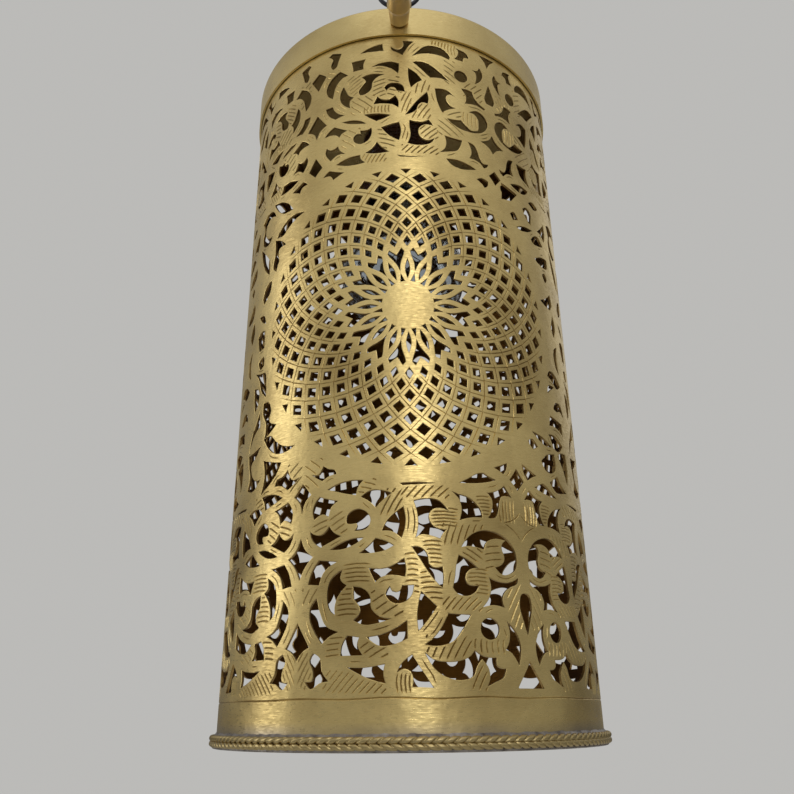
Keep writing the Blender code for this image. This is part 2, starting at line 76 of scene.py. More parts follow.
UNIT_HOLES = """
-34.6 51*, -33 55.5, -30.6 58.7*, -23.8 57.8*, -28.8 54.4, -30.3 50.5*
-31 46.4*, -29.4 41, -27.5 37.5, -22.8 35.3*, -26 34, -28.7 31.8*, -31.5 35.5, -33.6 40, -33.3 43.7
-21.8 55.1*, -26 52, -27.2 47, -26 42, -24.2 40.6*, -24.4 43, -23.5 46, -20.2 49.9*, -22.3 51.5
-18 49.4*, -14 48.2, -12.5 46.5, -11.8 42, -8.9 39.5, -5.4 38.9*, -10 37.6, -14 37.2,
 -17.8 38.7*, -15.5 41.5, -17.8 45.3*
-12.8 55.1*, -7 55, -1.1 58*, -0.5 54, -0.9 52*, -8.5 52.1, -10.6 50.5*
-5.8 49.1*, -7.2 46.8, -5 43.9, -0.8 44.2, 1.3 46.3, 2 49.4*, -1.8 49.2*, -2.5 47.5, -5.1 47.5
-13.4 33.4*, -8 34.3, -4 36, -0.4 38.2*, -0.3 32.8*, -5 31, -9 30.7
-19.8 34.1*, -15.8 33.4*, -16.3 31, -14.6 28*, -22 28*, -21.7 31
-19.8 24.5*, -14 24.3, -7.5 25.3*, -8 22.5, -7.3 19.6*, -13 21.2, -17.5 23.3
-31.8 29.2*, -29.2 27.5, -28.4 23.5, -26 20.5*, -29.2 20, -32.3 18.3, -34.6 20.5*, -31.9 20.8,
 -31.7 23.5, -33.1 27
1.1 27.9*, 7.7 18.2*, 1.1 18.5*, 1.4 21, 0.6 23, -1.6 23.8, -3.7 22.7*, -2.5 25
4.4 47.2*, 9.4 42.6*, 6.8 39, 3.3 35.1*, 3 40, 3.7 44.5
13 40.4*, 20.6 40.1*, 17.4 35.2, 14.5 32, 9 30.5, 5.3 30.9*, 8.5 33.3, 11.3 37
33.4 38.4*, 36.6 35.5, 38.4 31, 37.2 24.9*, 36 27, 34 29, 32.4 29.5*, 33.9 32, 34.3 35.3
5.2 28.5*, 8 26.4, 12.5 25.7, 17 26.2, 20 27.6, 21.4 29.3*, 24 27.6, 28.9 27.1*, 28.8 25, 30 24,
 32.2 23.8*, 31 21.2, 28.5 20, 25.1 18.5*, 26.1 20.5, 26 23.5, 23.7 26.6*, 21.9 24.5, 20.6 21.6,
 16.8 20.4, 12 21.2, 8.3 23.6
17.3 59.3*, 20.5 57.7, 23.8 55.2*, 21 54.6, 19.5 53, 19.3 51, 20.2 49.8, 23.8 49.5*, 22.8 47.6,
 19.3 46, 16.5 46.6, 14.9 48.5*, 15.7 52, 16.3 56
27.7 52.3*, 31 51.1, 35 50.9, 39.2 52.7*, 38.6 50.8, 35.5 49.4, 33.3 47.6, 32.3 45, 33 42.7*,
 29 43.4, 24.9 42.6*, 27 45, 28.2 48
-29.9 91.8*, -27.5 90.3, -25.5 89.9, -24.7 88.2*, -27 88, -30.1 86.3*, -32 87.3, -34.6 89.1*,
 -31.5 89, -30.6 90.3
-28 82.9*, -25 84.3, -18.5 85.4, -14.8 85.1*, -16.3 83.5, -17.4 80*, -21 80.8, -25 82
-15.6 79.3*, -13.5 80.9, -10 81.5, -7.5 81, -5 80.1*, -7.6 78.2, -10.4 75.3*, -12.5 77.4
-31.1 80.7*, -28 79.6, -23.9 78.5*, -26 77, -27.4 73.2*, -29 74.3, -33 72.8*, -33.7 76, -33 78.3
-17 75.2, -13.7 74, -12.2 71.2, -13.2 68.6, -17.8 67.7*, -16.8 69.5, -17.2 70.3*, -20.6 70.6,
 -20.2 73.4
-34.5 69*, -33 67.8, -30 67.3, -28.2 68.5, -27 70*, -25 67.5, -22.5 66.3*, -25 65.2, -30.1 63*,
 -32.5 64.6, -34 66.8
-26.5 61.9*, -23 63.8, -18 65.2, -14.4 65.3*, -17.5 63.3, -21.5 61.9
-1.1 75.3*, -0.4 71, -1 67, -1.8 64.8*, -5.3 67.1, -8.4 67.3*, -6.6 70.7, -3.5 73.6
-16.1 60.1*, -13 62.4, -10.5 64.9*, -7.5 64, -4.4 62.3*, -7.5 60.7, -11 60.1
2.5 77.3*, 6.5 78.1, 10.5 77.7, 14.3 74*, 11.5 74.9, 9 74.5, 7.5 72.7, 7.6 70.5, 9 68.6,
 13.4 67.5*, 12.3 66.5, 11.2 64.5*, 8 65.5, 4 65.6, 3 64.8*, 3.9 69, 3.6 73.5
-2.2 83.5*, 4 83.8, 10 83.5*, 6 83.2, -1.2 82.8*
15.8 80.8*, 18.5 79.9, 21 79.3, 24 77.3, 26.1 74.5, 26.4 72.3*, 22 72, 18 70.9*, 19 74.5, 18.3 78
35.8 84.4*, 38.7 80.4*, 36 80.8, 34.3 80.3, 33.5 78.5, 32.7 75, 31.5 72.7, 28.6 72.3*, 30.2 75,
 30.3 79.5, 28.6 81.2*, 32 81.9
18.6 84*, 22 85.8, 25 87.6, 27.5 88.2, 30 87, 32.5 86.1*, 29 85, 24 84.2
32.1 90.6*, 35 91.8, 37.7 93*, 37.2 90.5, 35.8 88.7*, 34 89.8
18.3 61.9*, 20 64.3, 23 66.8, 27 67.9, 31 67.5, 35 65.8, 38 62.8, 39.1 59, 38.3 55.5, 36 53.9,
 33 53.4, 30.2 55.7*, 32 56.2, 33.8 57.8, 34 59.8, 33.3 61.5, 33.2 63.2, 34.8 65*, 30 65.2,
 27.5 64, 26.4 61.4*, 24 62, 20.5 62.3
1.5 61.8*, 3.5 61.8, 5.6 60.7, 6.8 58.7, 7 56.4, 8.3 55.1, 11.6 55.2*, 11.8 51, 11.4 48.4*,
 9.3 50.5, 6.3 54.5, 3.5 59
-31.5 286.6*, -26.8 284.9*, -28.3 280.5, -29.3 277.6, -30.8 277, -32 279.3, -31 282.8, -33.2 285.3*
-17.7 281.8*, -13 284.3, -7.7 285.5*, -7.6 283.3, -7.2 281.4*, -12 281.6
1.2 286.6*, 1.5 283.5, 0 281.8, -2 281.9, -3.8 283.4*, -3.6 281.5, -1.5 280.2, 1.1 278.4*,
 2.4 281, 4 284, 6.4 286.6*
-21.8 277.7*, -15.3 277.9*, -16.3 275, -16.2 272.3*, -20.9 272*, -21.2 275
-12.8 272.7*, -8 274.5, -4 274.7, -0.5 273.5*, -0.6 270, -0.9 267.8*, -4 270.8, -8 272.6
-27.2 274.3*, -23.4 270.8*, -26.3 269.8, -29 266.5, -30.2 262, -30.6 260*, -32.8 262,
 -33.9 265.5, -32.8 269.5, -30 272.7
-17 267.6*, -13.5 268.7, -10 268.4, -7 267.6*, -10 266.5, -12 264.3, -12.8 260, -15 258,
 -17.5 257.8, -18.3 260, -16.8 262.7, -15.2 265
-25.2 264.6*, -24 261.5, -22.6 258.7, -20.5 257.3*, -22 256, -22.1 251.8*, -24.7 253.8,
 -26.5 256.5, -27 260, -26.4 262.7
-7 260.2*, -5.5 262, -2.5 262.6, 0.5 261.4, 1.9 257.2*, -1.6 258*, -2.5 259.9, -4.8 259.9,
 -5.9 258.3*
-10 255.6*, -8.5 254, -5 253.4, -2.3 255.4*, -1 252.5, -1 248.7*, -3 250.3, -7 251.3,
 -11.8 251.5*, -10.8 253.5
-33.9 255.2*, -30.4 255.3*, -29.3 252.5, -27 250, -24.6 248.6*, -29 247.8*, -31.8 250.3, -33.3 253
-25.8 245*, -21 244.7, -17 243.3, -14.7 241.5*, -19 242.3, -23 243.5
-15.8 246.5*, -10 246.2, -4.3 244.8*, -7 243.3, -10.3 242.1*, -13 244
-34 239.7*, -32 242, -29.3 243.7*, -26.5 241.8, -23.2 239.9*, -25.5 239, -26.9 237.2*, -28.5 239,
 -31 239.7
-17.4 238.3*, -14.5 238, -12.5 239*, -12.5 235.5, -14.5 232, -17 231.1, -19.5 232.2, -20.4 235,
 -19 236.7, -17.2 236.4*
-8.4 238.6*, -4 240, -0.9 240.9*, 0 236.5, -0.9 231.2*, -4.5 233.5
-32.8 233.5*, -31 231.8, -28.5 232, -27.4 232.9*, -26.3 230, -24 227.8*, -27.5 228.1, -30.7 226*,
 -32.4 228.3, -33.4 231
-10.2 231.1*, -8 228, -5.1 225.4*, -10 225, -15.2 225.9*, -12.3 228
-28 223.1*, -23 225, -17.3 225.4*, -17 223.3, -15.1 221.2*, -19 220.8, -23.5 221.3
-31 221*, -28 219.5, -24.4 218.2*, -27 217, -29.3 215.8*, -30.5 218, -34 218.5*, -32.6 220
-1.7 223.5*, 3 222.9, 9.6 223.2*, 5 222.5, -0.5 222.6*
5.3 277.9*, 8 281, 11 284, 15.5 285, 20 283.6, 22.6 280.3*, 22.2 278.4*, 18 279.8, 13 280.1, 9 279.5
25.8 286.4*, 28 286, 31 284.8, 31.9 282.5*, 29.5 282, 28.8 279.6*, 24.7 279.8*, 26.4 282.5,
 26.8 284.8
5.4 274.5*, 10 274.9, 14 273, 18 269.5, 21.8 265.6*, 18.5 266.5, 13 266.2*, 10 269.7
37.2 279.4*, 38.6 277, 38.4 273.5, 36 270, 34.3 268.6*, 35.3 272, 35 275.4, 33.3 276.4*, 36 277
3.5 270.8*, 6.5 268.5, 9.5 264.2*, 7 262.5, 4.6 259.9*, 3.7 264
15.1 260.3*, 20 260.5, 24.1 257.4*, 21.5 258.3, 20 257, 20 254.5, 21.8 252, 24.1 251.1*,
 21 249.8, 17.9 247.6*, 16.4 251.5
11.5 257.8*, 12.1 254, 11.7 251.3*, 9 251.7, 7.4 250, 6.7 247.5, 4.6 245.8, 1.9 244.7*, 4 248,
 7 252.5
27.3 263.3*, 30 263.7, 32.6 263.3*, 33.7 260, 36.5 257.3, 39 256.3*, 38.5 255.2*, 34 256.3,
 28.7 255.3*, 29.5 259
20 244.8*, 22 242.5, 26 240.5, 31 240.1, 35.5 241.4, 38.7 244.5, 39.7 248, 38.3 251.3,
 34.8 253.1, 30.5 251.1*, 33 250.8, 34.7 248.8, 34.9 245, 34.5 242.2*, 31 241.2, 28.6 243,
 26.5 245.3*, 23 244.7
11.9 242.6*, 13.8 239.4*, 10 239.8, 7.5 237.5, 7.3 235, 9 232.3, 11.5 231.7, 14.2 233*,
 12.5 230.3, 9.5 229, 6 228.8, 2.7 229.6*, 4 234, 3.6 239, 3.7 241.9*, 6.5 241.2, 9.5 241.3
18.5 235.3*, 22 234.6, 26.4 234.3*, 25.6 231.5, 24 228.5, 20 227, 16.2 226*, 18.6 228.7, 19.2 231.5
29 234.4*, 32 233.6, 33.5 231, 34.2 228, 35.8 225.3, 38.7 225.7*, 37.8 223.9, 36.3 223*,
 34 225.2, 29.4 226*, 30.5 228.5, 30.3 231.5
18.9 223.1*, 24 223.4, 29 222.2, 32.3 220.8*, 29 219.7, 24.5 219.2, 21 220.5
32.3 216*, 35 217.3, 38 216.5*, 37.5 214, 36 212.8*, 34.5 214.5
"""
LEFT_AXIS_HOLES = """
-38.2 38.8*, -33.4 30.9*, -35.6 29.9, -38.2 26.9*, -40.8 29.9, -43 30.9*
-38.2 67*, -36 62.5, -33 60.2*, -36 57, -38.2 52.6*, -40.4 57, -43.4 60.2*, -40.4 62.5
-38.2 86.4*, -34.6 82*, -37 79.5, -38.2 75.5*, -39.4 79.5, -41.8 82*
-38.2 230.3*, -34.7 224.2*, -38.2 220.4*, -41.7 224.2*
-38.2 253.5*, -33.2 246.3*, -36.6 244, -38.2 240.2*, -39.8 244, -43.2 246.3*
-38.2 278*, -34.2 274.5*, -38.2 267.6*, -42.2 274.5*
"""
RIGHT_AXIS_HOLES = """
41.7 26.2*, 47.2 18*, 36.2 18*
40.2 47.5, 43.2 47.5, 44.3 44.3, 43.2 39, 41.7 34.2*, 40.2 39, 39.1 44.3
41.7 91.5*, 44.9 87*, 41.7 83.3*, 38.4 87*
41.7 271*, 43.5 266, 44.4 262, 43.5 259.7*, 40 259.7*, 39.1 262, 40 266
41.7 242.5*, 43.5 239.5, 47.8 237*, 44 235.3, 41.7 232.5*, 39.4 235.3, 35.6 237*, 39.9 239.5
41.7 223.2*, 44.8 220*, 41.7 216*, 38.6 220*
37.4 287.3*, 46 287.3*, 43.3 284.5, 41.7 281*, 40.1 284.5
"""
RIGHT_CORNER_HOLES = """
46 211.5*, 46.3 217.8*, 53.8 216.3*, 50.5 212.5*
64.2 217*, 67.5 219, 72.7 217.8*, 70 215.8, 68.3 215.5*
59.8 211*, 62.5 212.3, 64.7 210.5*, 64 206.5*, 61.5 208
50.2 204.8*, 52 206, 54 203.8*, 51.5 202.8*
54.6 200*, 58 201.5, 63.5 202.3*, 60 200.3, 56 199.5
71.5 205.5*, 75 208.5, 77.5 211*, 78 207, 76.5 203.7*, 74 205.5
64.8 198*, 67.5 200.5, 69.5 201.2, 73 199*, 70 197.8, 66 197.3
67.3 189.5*, 72 192, 76.5 193*, 76.5 190, 69 188.6*
72 183.5*, 74 184.6, 75.5 183*, 74 181.4
68.8 170*, 72 171.5, 76.5 174.8*, 77.5 171.5, 75.5 169*, 71 169.3
76 160*, 78.5 165*, 80 161, 78 157*
79.5 150.3*, 76.8 148.5, 76.2 145, 77.5 142, 79.3 141*, 78.7 143, 78.3 146, 78.8 148.5
68.5 134.8*, 70 136.8, 74 136.5, 77.5 134*, 74.5 132.3, 71 134
66.6 127.6*, 67.5 130.3, 71.2 130.7*, 68.5 129
71 121.5*, 73 124, 76 124.3, 78.5 120.6*, 76 122, 73.5 121.2*
66.5 113.5*, 67.5 116.8*, 75 116*, 75.2 112.5*, 70.5 113.8
64.8 108.5*, 68 108.8, 73.5 106.8*, 70 104.3, 67.3 104.8*
53.8 107.3*, 58 106.7, 63.2 104.6*, 60 104.3, 56 105.8
50 103.2*, 51.8 104.3, 54.3 102.4*, 52 101.2*
58 97*, 61 99.3, 65.3 100.4*, 65 95.5, 62.5 94.2*, 60 94.5
70.8 101*, 73 102.3, 76.5 102.6*, 77 97, 75.8 93.5*, 73.8 97.5
63 89.5*, 67.5 92*, 69.5 89.8, 72.8 88.1*, 70 87.5, 66 87.2
"""
LEFT_CORNER_HOLES = """
-64 217.4*, -60 216.5, -55.5 213.8, -53 210.7*, -57.5 211, -60.5 213
-75.8 213*, -72 214.8, -68 214, -66 211.2*, -69.5 212.2, -72.5 210, -72.8 207, -70.5 204.8,
 -67.5 204.3*, -70 202.3, -74 203.5, -75 207*, -74 210
-59.8 200.3*, -56.5 203.5, -52 205.2, -46 204.5*, -50 203.3, -53.5 201.5, -56 199.8
-62.5 196.8*, -59.5 195.5, -56.3 192.8*, -59.8 192.5, -59.6 188*, -61 184.8*, -63 187, -62.2 191
-75.8 198.4*, -72 195, -68.2 190, -68.3 185.8*, -71.5 188.8, -74 193
-71 174*, -68 178.2, -65.2 178.5*, -66 174.5, -69.8 171.8*
-73 165*, -69.5 164.2, -68.3 161.2*, -70.5 162.3
-73.3 155.5*, -70.5 156.8, -68.3 156*, -68.3 150.5*, -71.5 150.2*
-71.3 143.5*, -68 144.5, -67.3 141.5*, -69.5 140.7
-72.3 138*, -69 137, -66 136.5, -64.8 132, -64.6 128.2*, -68 131.5, -69.5 135
-74 131.5*, -71 130.5, -70.8 125, -72.5 123.5*, -73.5 127
-63.8 121.8*, -61 121.5, -59.3 118.3*, -60 115.5, -56.3 113.6*, -59.5 111.5, -62 110.5*,
 -61.8 115, -63.8 118.5
-68.3 119.5*, -67.8 114.5*, -70 113.5, -74.5 107.8*, -73 112.5, -70.5 116
-60.5 107.3*, -57 107.5, -54.5 105.5, -51 103.3, -46 102.5*, -49.5 101.3, -54 101.6, -58 104.2
-74.5 102.8*, -70 103.3, -66.3 104.2*, -69 101.5, -71.8 99.8, -71.5 97, -69 94.5, -65.8 94*,
 -70 91.5, -74 92.5*, -72.5 96, -73.7 99.5
-61 98*, -57 96.8, -52.3 95.8*, -54.5 92.5, -58 90, -61.5 88.2*, -60 92.5
"""
ROUND_HOLES = ((27.1, 35.9, 3.4), (27.4, 270.3, 3.2))

# Chased veins: each area is u from, u to, h from, h to, direction in degrees, number of strokes.
VEINS = """
-22 -11.5 50 57 0 5, -24 -15.5 39.5 49 0 6, -12 -1 39.5 48 30 5, -27.5 -16 27 34 0 4, -16 -6 27 33 30 5
-28 -7 16.5 24 45 12, -4 1.3 16.5 23 90 4, -37.7 -32 18 30 60 7, -37 -30 44 50 60 4, 4 12 44 54 0 6
-1 4 46 60 0 8, 19.5 28 46 55 0 7, 11 25 41 46 45 8, 5.5 21 26 34 60 8, 21 33 28 33 90 6
19 26 17 26 60 5, 33 40 71 80 90 5, 24 31 72.5 80 0 6, 7.5 18 68 75 0 6, 34 40 36 51 60 6
5 12 55.5 64 0 6, 26 34 55 65 8 5, 18 26 57 63 -30 5, 12 27 62 70 70 8, -2 15 78 83 45 8
-9 -1 72 82 60 6, -27.5 -20 67 75 30 5, -34 -27 67 73 20 4, -17 -10 80 85.5 -15 4, -38 -30 84 95 -40 5
-24 -16 258 269.5 35 8, -22 -11 247 257 -45 6, -12.5 -6 255 266 20 6, -6 0 255 266 -20 5
-16 -4 246 250.5 90 8
-10 -2 227 238 -20 6, -16.5 -6 220 227 60 8, -26 -17 230 240 -40 5, 0 5 245 258 70 5, 5 13 256 265 75 4
4 13 242.5 251.5 60 6, 7.5 16 232 240 45 6, 0 16 224 229 45 8, 19 25 264 278 -35 6, 18 27 246 251 30 4
27 35 242 251 90 4, 15 28 235 245 -40 6, 14 26 281 288 90 8, 28 38 258 268 50 6, -34 -27 262 276 -35 6
"""


# ---------------------------------------------------------------------------------------------
# Finishes.


class Nodes:
    """Adds and joins the nodes of one material."""

    def __init__(self, name: str) -> None:
        """Starts an empty node tree with an output and a Principled shader.

        Args:
            name: The material's name.
        """
        self.material = bpy.data.materials.new(name)
        self.material.use_nodes = True
        self.tree = self.material.node_tree
        self.shader = self.tree.nodes["Principled BSDF"]
        self.place = self.add("ShaderNodeTexCoord").outputs["Object"]

    def add(self, kind: str, **settings: object) -> bpy.types.Node:
        """Adds a node of that kind with these properties set, and returns it."""
        node = self.tree.nodes.new(kind)
        for key, value in settings.items():
            setattr(node, key, value)
        return node

    def join(self, source: bpy.types.NodeSocket, target: bpy.types.NodeSocket) -> None:
        """Links one socket to another."""
        self.tree.links.new(source, target)

    def noise(self, scale: tuple[float, float, float], detail: float = 3.0) -> bpy.types.NodeSocket:
        """A noise whose grain is stretched by its three scales.

        Args:
            scale: Grain per metre along X, Y and Z.
            detail: Octaves of the noise.

        Returns:
            The noise's value, about 0.5 on average.
        """
        mapping = self.add("ShaderNodeMapping")
        mapping.inputs["Scale"].default_value = scale
        self.join(self.place, mapping.inputs["Vector"])
        node = self.add("ShaderNodeTexNoise")
        node.inputs["Scale"].default_value = 1.0
        node.inputs["Detail"].default_value = detail
        self.join(mapping.outputs["Vector"], node.inputs["Vector"])
        return node.outputs["Fac"]

    def ramp(self, source: bpy.types.NodeSocket, low: float, high: float, start: float,
             end: float) -> bpy.types.NodeSocket:
        """The source, from low to high, spread from start to end and held there."""
        node = self.add("ShaderNodeMapRange")
        for key, value in (("From Min", low), ("From Max", high), ("To Min", start), ("To Max", end)):
            node.inputs[key].default_value = value
        self.join(source, node.inputs["Value"])
        return node.outputs["Result"]

    def blend(self, share: bpy.types.NodeSocket, first: Colour | bpy.types.NodeSocket,
              second: Colour | bpy.types.NodeSocket) -> bpy.types.NodeSocket:
        """A colour between two others.

        Args:
            share: How much of the second, from 0 to 1.
            first: A colour or a colour socket.
            second: A colour or a colour socket.

        Returns:
            The mixed colour's socket.
        """
        node = self.add("ShaderNodeMix", data_type="RGBA")
        self.join(share, node.inputs[0])
        for socket, colour in ((node.inputs[6], first), (node.inputs[7], second)):
            if isinstance(colour, tuple):
                socket.default_value = (*colour, 1.0)
            else:
                self.join(colour, socket)
        return node.outputs[2]

    def total(self, first: bpy.types.NodeSocket, second: bpy.types.NodeSocket) -> bpy.types.NodeSocket:
        """The sum of two numbers, held between 0 and 1."""
        node = self.add("ShaderNodeMath", operation="ADD", use_clamp=True)
        self.join(first, node.inputs[0])
        self.join(second, node.inputs[1])
        return node.outputs[0]

    def bump(self, height: bpy.types.NodeSocket, depth: float) -> None:
        """Roughens the shader's surface by a height field.

        Args:
            height: The field, from 0 to 1.
            depth: How deep it is at 1, in metres.
        """
        node = self.add("ShaderNodeBump")
        node.inputs["Strength"].default_value = 1.0
        node.inputs["Distance"].default_value = depth
        self.join(height, node.inputs["Height"])
        for link in self.shader.inputs["Normal"].links:
            self.join(link.from_socket, node.inputs["Normal"])
        self.join(node.outputs["Normal"], self.shader.inputs["Normal"])


@dataclass(frozen=True)
class MetalFinish:
    """Metal with patina in soft clouds, fine brush marks and an uneven shine."""

    name: str
    colour: Colour
    patina: Colour
    roughness: float = 0.35
    spread: float = 0.10
    clouds: float = 60.0
    stain: float = 0.55
    grain: tuple[float, float, float] = (90.0, 90.0, 2600.0)
    depth: float = 0.00002
    groove: bool = False
    dents: float = 0.0
    groove_darkening: float = 0.75
    tin: Colour | None = None
    tin_heights: Point = (0.0088, 0.0046)
    dent_grain: float = 150.0
    scuff_grain: tuple[float, float, float] = (650.0, 650.0, 900.0)
    scuffs: float = 0.12
    streak_stain: float = 0.18

    def material(self) -> bpy.types.Material:
        """Builds the finish's nodes and returns the material."""
        nodes = Nodes(self.name)
        cloud = nodes.noise((self.clouds,) * 3, 4.0)
        streak = nodes.noise(self.grain, 2.0)
        stain = nodes.ramp(cloud, 0.38, 0.72, 0.0, self.stain)
        stain = nodes.total(stain, nodes.ramp(streak, 0.45, 0.75, 0.0, self.streak_stain))
        # The groove attribute darkens towards the patina colour: tarnish and painted shade in the chased
        # lines, painted shade in the rope's strand gaps.
        if self.groove:
            darkening = nodes.add("ShaderNodeAttribute", attribute_name="groove")
            stain = nodes.total(stain, nodes.ramp(darkening.outputs["Fac"], 0.0, 1.0, 0.0, self.groove_darkening))
        colour = nodes.blend(stain, self.colour, self.patina)
        if self.tin:
            apart = nodes.add("ShaderNodeSeparateXYZ")
            nodes.join(nodes.place, apart.inputs[0])
            top, foot = (RIM_Z + height for height in self.tin_heights)
            near = nodes.ramp(apart.outputs["Z"], foot, top, 0.85, 0.0)
            patch = nodes.add("ShaderNodeMath", operation="MULTIPLY", use_clamp=True)
            nodes.join(near, patch.inputs[0])
            nodes.join(nodes.ramp(cloud, 0.35, 0.60, 0.45, 1.0), patch.inputs[1])
            colour = nodes.blend(patch.outputs[0], colour, self.tin)
        nodes.join(colour, nodes.shader.inputs["Base Color"])
        shine = nodes.ramp(streak, 0.3, 0.7, self.roughness - self.spread, self.roughness + self.spread)
        nodes.join(shine, nodes.shader.inputs["Roughness"])
        nodes.shader.inputs["Metallic"].default_value = 1.0
        nodes.bump(streak, self.depth)
        if self.dents:
            nodes.bump(nodes.noise((self.dent_grain,) * 3, 2.0), self.dents)
            nodes.bump(nodes.noise(self.scuff_grain, 3.0), self.dents * self.scuffs)
        return nodes.material


@dataclass(frozen=True)
class MouldedFinish:
    """Plastic, resin or ceramic with faint flow clouds, specks and a worn gloss."""

    name: str
    colour: Colour
    cloud: Colour
    roughness: float = 0.3
    specks: float = 900.0
    depth: float = 0.00002

    def material(self) -> bpy.types.Material:
        """Builds the finish's nodes and returns the material."""
        nodes = Nodes(self.name)
        flow = nodes.noise((70.0, 70.0, 70.0), 4.0)
        speck = nodes.noise((self.specks,) * 3, 2.0)
        colour = nodes.blend(nodes.ramp(flow, 0.35, 0.7, 0.0, 1.0), self.colour, self.cloud)
        nodes.join(colour, nodes.shader.inputs["Base Color"])
        shine = nodes.ramp(speck, 0.3, 0.7, self.roughness * 0.75, self.roughness * 1.25)
        nodes.join(shine, nodes.shader.inputs["Roughness"])
        nodes.bump(speck, self.depth)
        return nodes.material


@dataclass(frozen=True)
class GlassFinish:
    """Clear blown glass with a slight tint and faint waves."""

    name: str
    colour: Colour
    tint: Colour
    roughness: float = 0.02

    def material(self) -> bpy.types.Material:
        """Builds the finish's nodes and returns the material."""
        nodes = Nodes(self.name)
        wave = nodes.noise((55.0, 55.0, 40.0), 2.0)
        colour = nodes.blend(nodes.ramp(wave, 0.3, 0.7, 0.0, 1.0), self.colour, self.tint)
        nodes.join(colour, nodes.shader.inputs["Base Color"])
        nodes.shader.inputs["Roughness"].default_value = self.roughness
        nodes.shader.inputs["Transmission Weight"].default_value = 1.0
        nodes.shader.inputs["IOR"].default_value = 1.45
        nodes.bump(wave, 0.00003)
        return nodes.material


class Finish(Enum):
    """The finishes of this lantern, each named for where it goes."""

    # The shade's chased lines are darkened towards its patina colour: tarnish and painted shade.
    SHADE = MetalFinish("hand_brushed_brass", (0.88, 0.68, 0.29), (0.27, 0.17, 0.05), 0.35, groove=True,
                        clouds=30.0, stain=0.55, grain=(420.0, 420.0, 2600.0), depth=0.000011,
                        dents=0.00022, groove_darkening=0.55, tin=(0.36, 0.32, 0.27))
    # Inside of the sheet: colour far darker than the outer brass, partly tarnish and partly painted shade in
    # the closed interior.
    INSIDE = MetalFinish("brass_inside_tarnish_and_painted_shade", (0.24, 0.112, 0.022), (0.060, 0.025, 0.007), 0.46,
                         clouds=35.0, stain=0.9)
    # Walls of the openings: colour darkened as painted shade inside the sawn holes.
    EDGE = MetalFinish("sawn_brass_edge_painted_shade", (0.52, 0.35, 0.13), (0.16, 0.085, 0.03), 0.45, stain=0.8)
    CAP = MetalFinish("cap_brushed_brass", (0.80, 0.63, 0.28), (0.50, 0.36, 0.14), 0.36, stain=0.45,
                      clouds=40.0, grain=(500.0, 500.0, 2600.0), depth=0.000007, dents=0.00003)
    # The rope's strand gaps are darkened fully towards its patina colour: painted shade.
    ROPE = MetalFinish("rope_brass", (0.70, 0.60, 0.34), (0.12, 0.095, 0.068), 0.42, stain=0.45,
                       clouds=160.0, grain=(900.0, 900.0, 900.0), groove=True, groove_darkening=1.0)
    SCREW = MetalFinish("polished_screw_brass", (0.80, 0.64, 0.40), (0.60, 0.46, 0.27), 0.34, 0.03,
                        stain=0.15, clouds=20.0, grain=(90.0, 90.0, 90.0), depth=0.000001)
    STEM = MetalFinish("stem_brass", (0.62, 0.46, 0.27), (0.36, 0.23, 0.11), 0.28, 0.07)
    PLAIN = MetalFinish("plain_brass", (0.66, 0.49, 0.23), (0.34, 0.22, 0.08), 0.40)
    SOLDER = MetalFinish("grey_solder", (0.40, 0.365, 0.335), (0.14, 0.12, 0.11), 0.50, stain=0.9,
                         clouds=240.0, grain=(700.0, 700.0, 700.0), depth=0.00005)
    RING = MetalFinish("blackened_iron", (0.075, 0.075, 0.085), (0.02, 0.018, 0.018), 0.38,
                       grain=(500.0, 500.0, 500.0), depth=0.00003)
    NICKEL = MetalFinish("nickel_plate", (0.66, 0.64, 0.60), (0.36, 0.33, 0.28), 0.26, 0.07,
                         grain=(400.0, 400.0, 400.0), depth=0.000006)
    WIRE = MetalFinish("tungsten_wire", (0.22, 0.21, 0.20), (0.09, 0.085, 0.08), 0.45)
    HOLDER = MouldedFinish("brown_thermoset", (0.085, 0.030, 0.012), (0.150, 0.060, 0.022), 0.26)
    CERAMIC = MouldedFinish("glazed_ceramic", (0.78, 0.76, 0.70), (0.66, 0.63, 0.56), 0.35)
    BUSH = MouldedFinish("black_bush_plastic", (0.018, 0.018, 0.019), (0.035, 0.034, 0.034), 0.45)
    SEAL = MouldedFinish("black_glass_seal", (0.012, 0.011, 0.011), (0.030, 0.026, 0.030), 0.12)
    BULB = GlassFinish("clear_bulb_glass", (0.93, 0.96, 0.98), (0.87, 0.92, 0.96))
    STEM_GLASS = GlassFinish("pressed_stem_glass", (0.90, 0.93, 0.95), (0.82, 0.87, 0.90), 0.06)

    def made(self) -> bpy.types.Material:
        """The finish's material, built the first time it is asked for."""
        found = bpy.data.materials.get(self.value.name)
        return found or self.value.material()


# ---------------------------------------------------------------------------------------------
# Hand modelling moves shared by the turned, bent and drilled pieces.


def deselect_all() -> None:
    """Leaves nothing selected, so that the next operator acts on its own piece."""
    for obj in bpy.context.selected_objects:
        obj.select_set(False)


def pick(obj: bpy.types.Object) -> None:
    """Makes one object the only selected and active one."""
    deselect_all()
    obj.select_set(True)
    bpy.context.view_layer.objects.active = obj


def smooth(obj: bpy.types.Object, angle: float = 38.0) -> None:
    """Shades an object smooth except across edges sharper than an angle in degrees."""
    pick(obj)
    bpy.ops.object.shade_smooth_by_angle(angle=math.radians(angle))


def apply_modifier(obj: bpy.types.Object, kind: str, **settings: object) -> None:
    """Adds a modifier with these settings and applies it.

    Args:
        obj: The object that gets it.
        kind: The modifier's type.
        settings: Its properties.
    """
    pick(obj)
    bpy.ops.object.modifier_add(type=kind)
    modifier = obj.modifiers[-1]
    for key, value in settings.items():
        setattr(modifier, key, value)
    bpy.ops.object.modifier_apply(modifier=modifier.name)


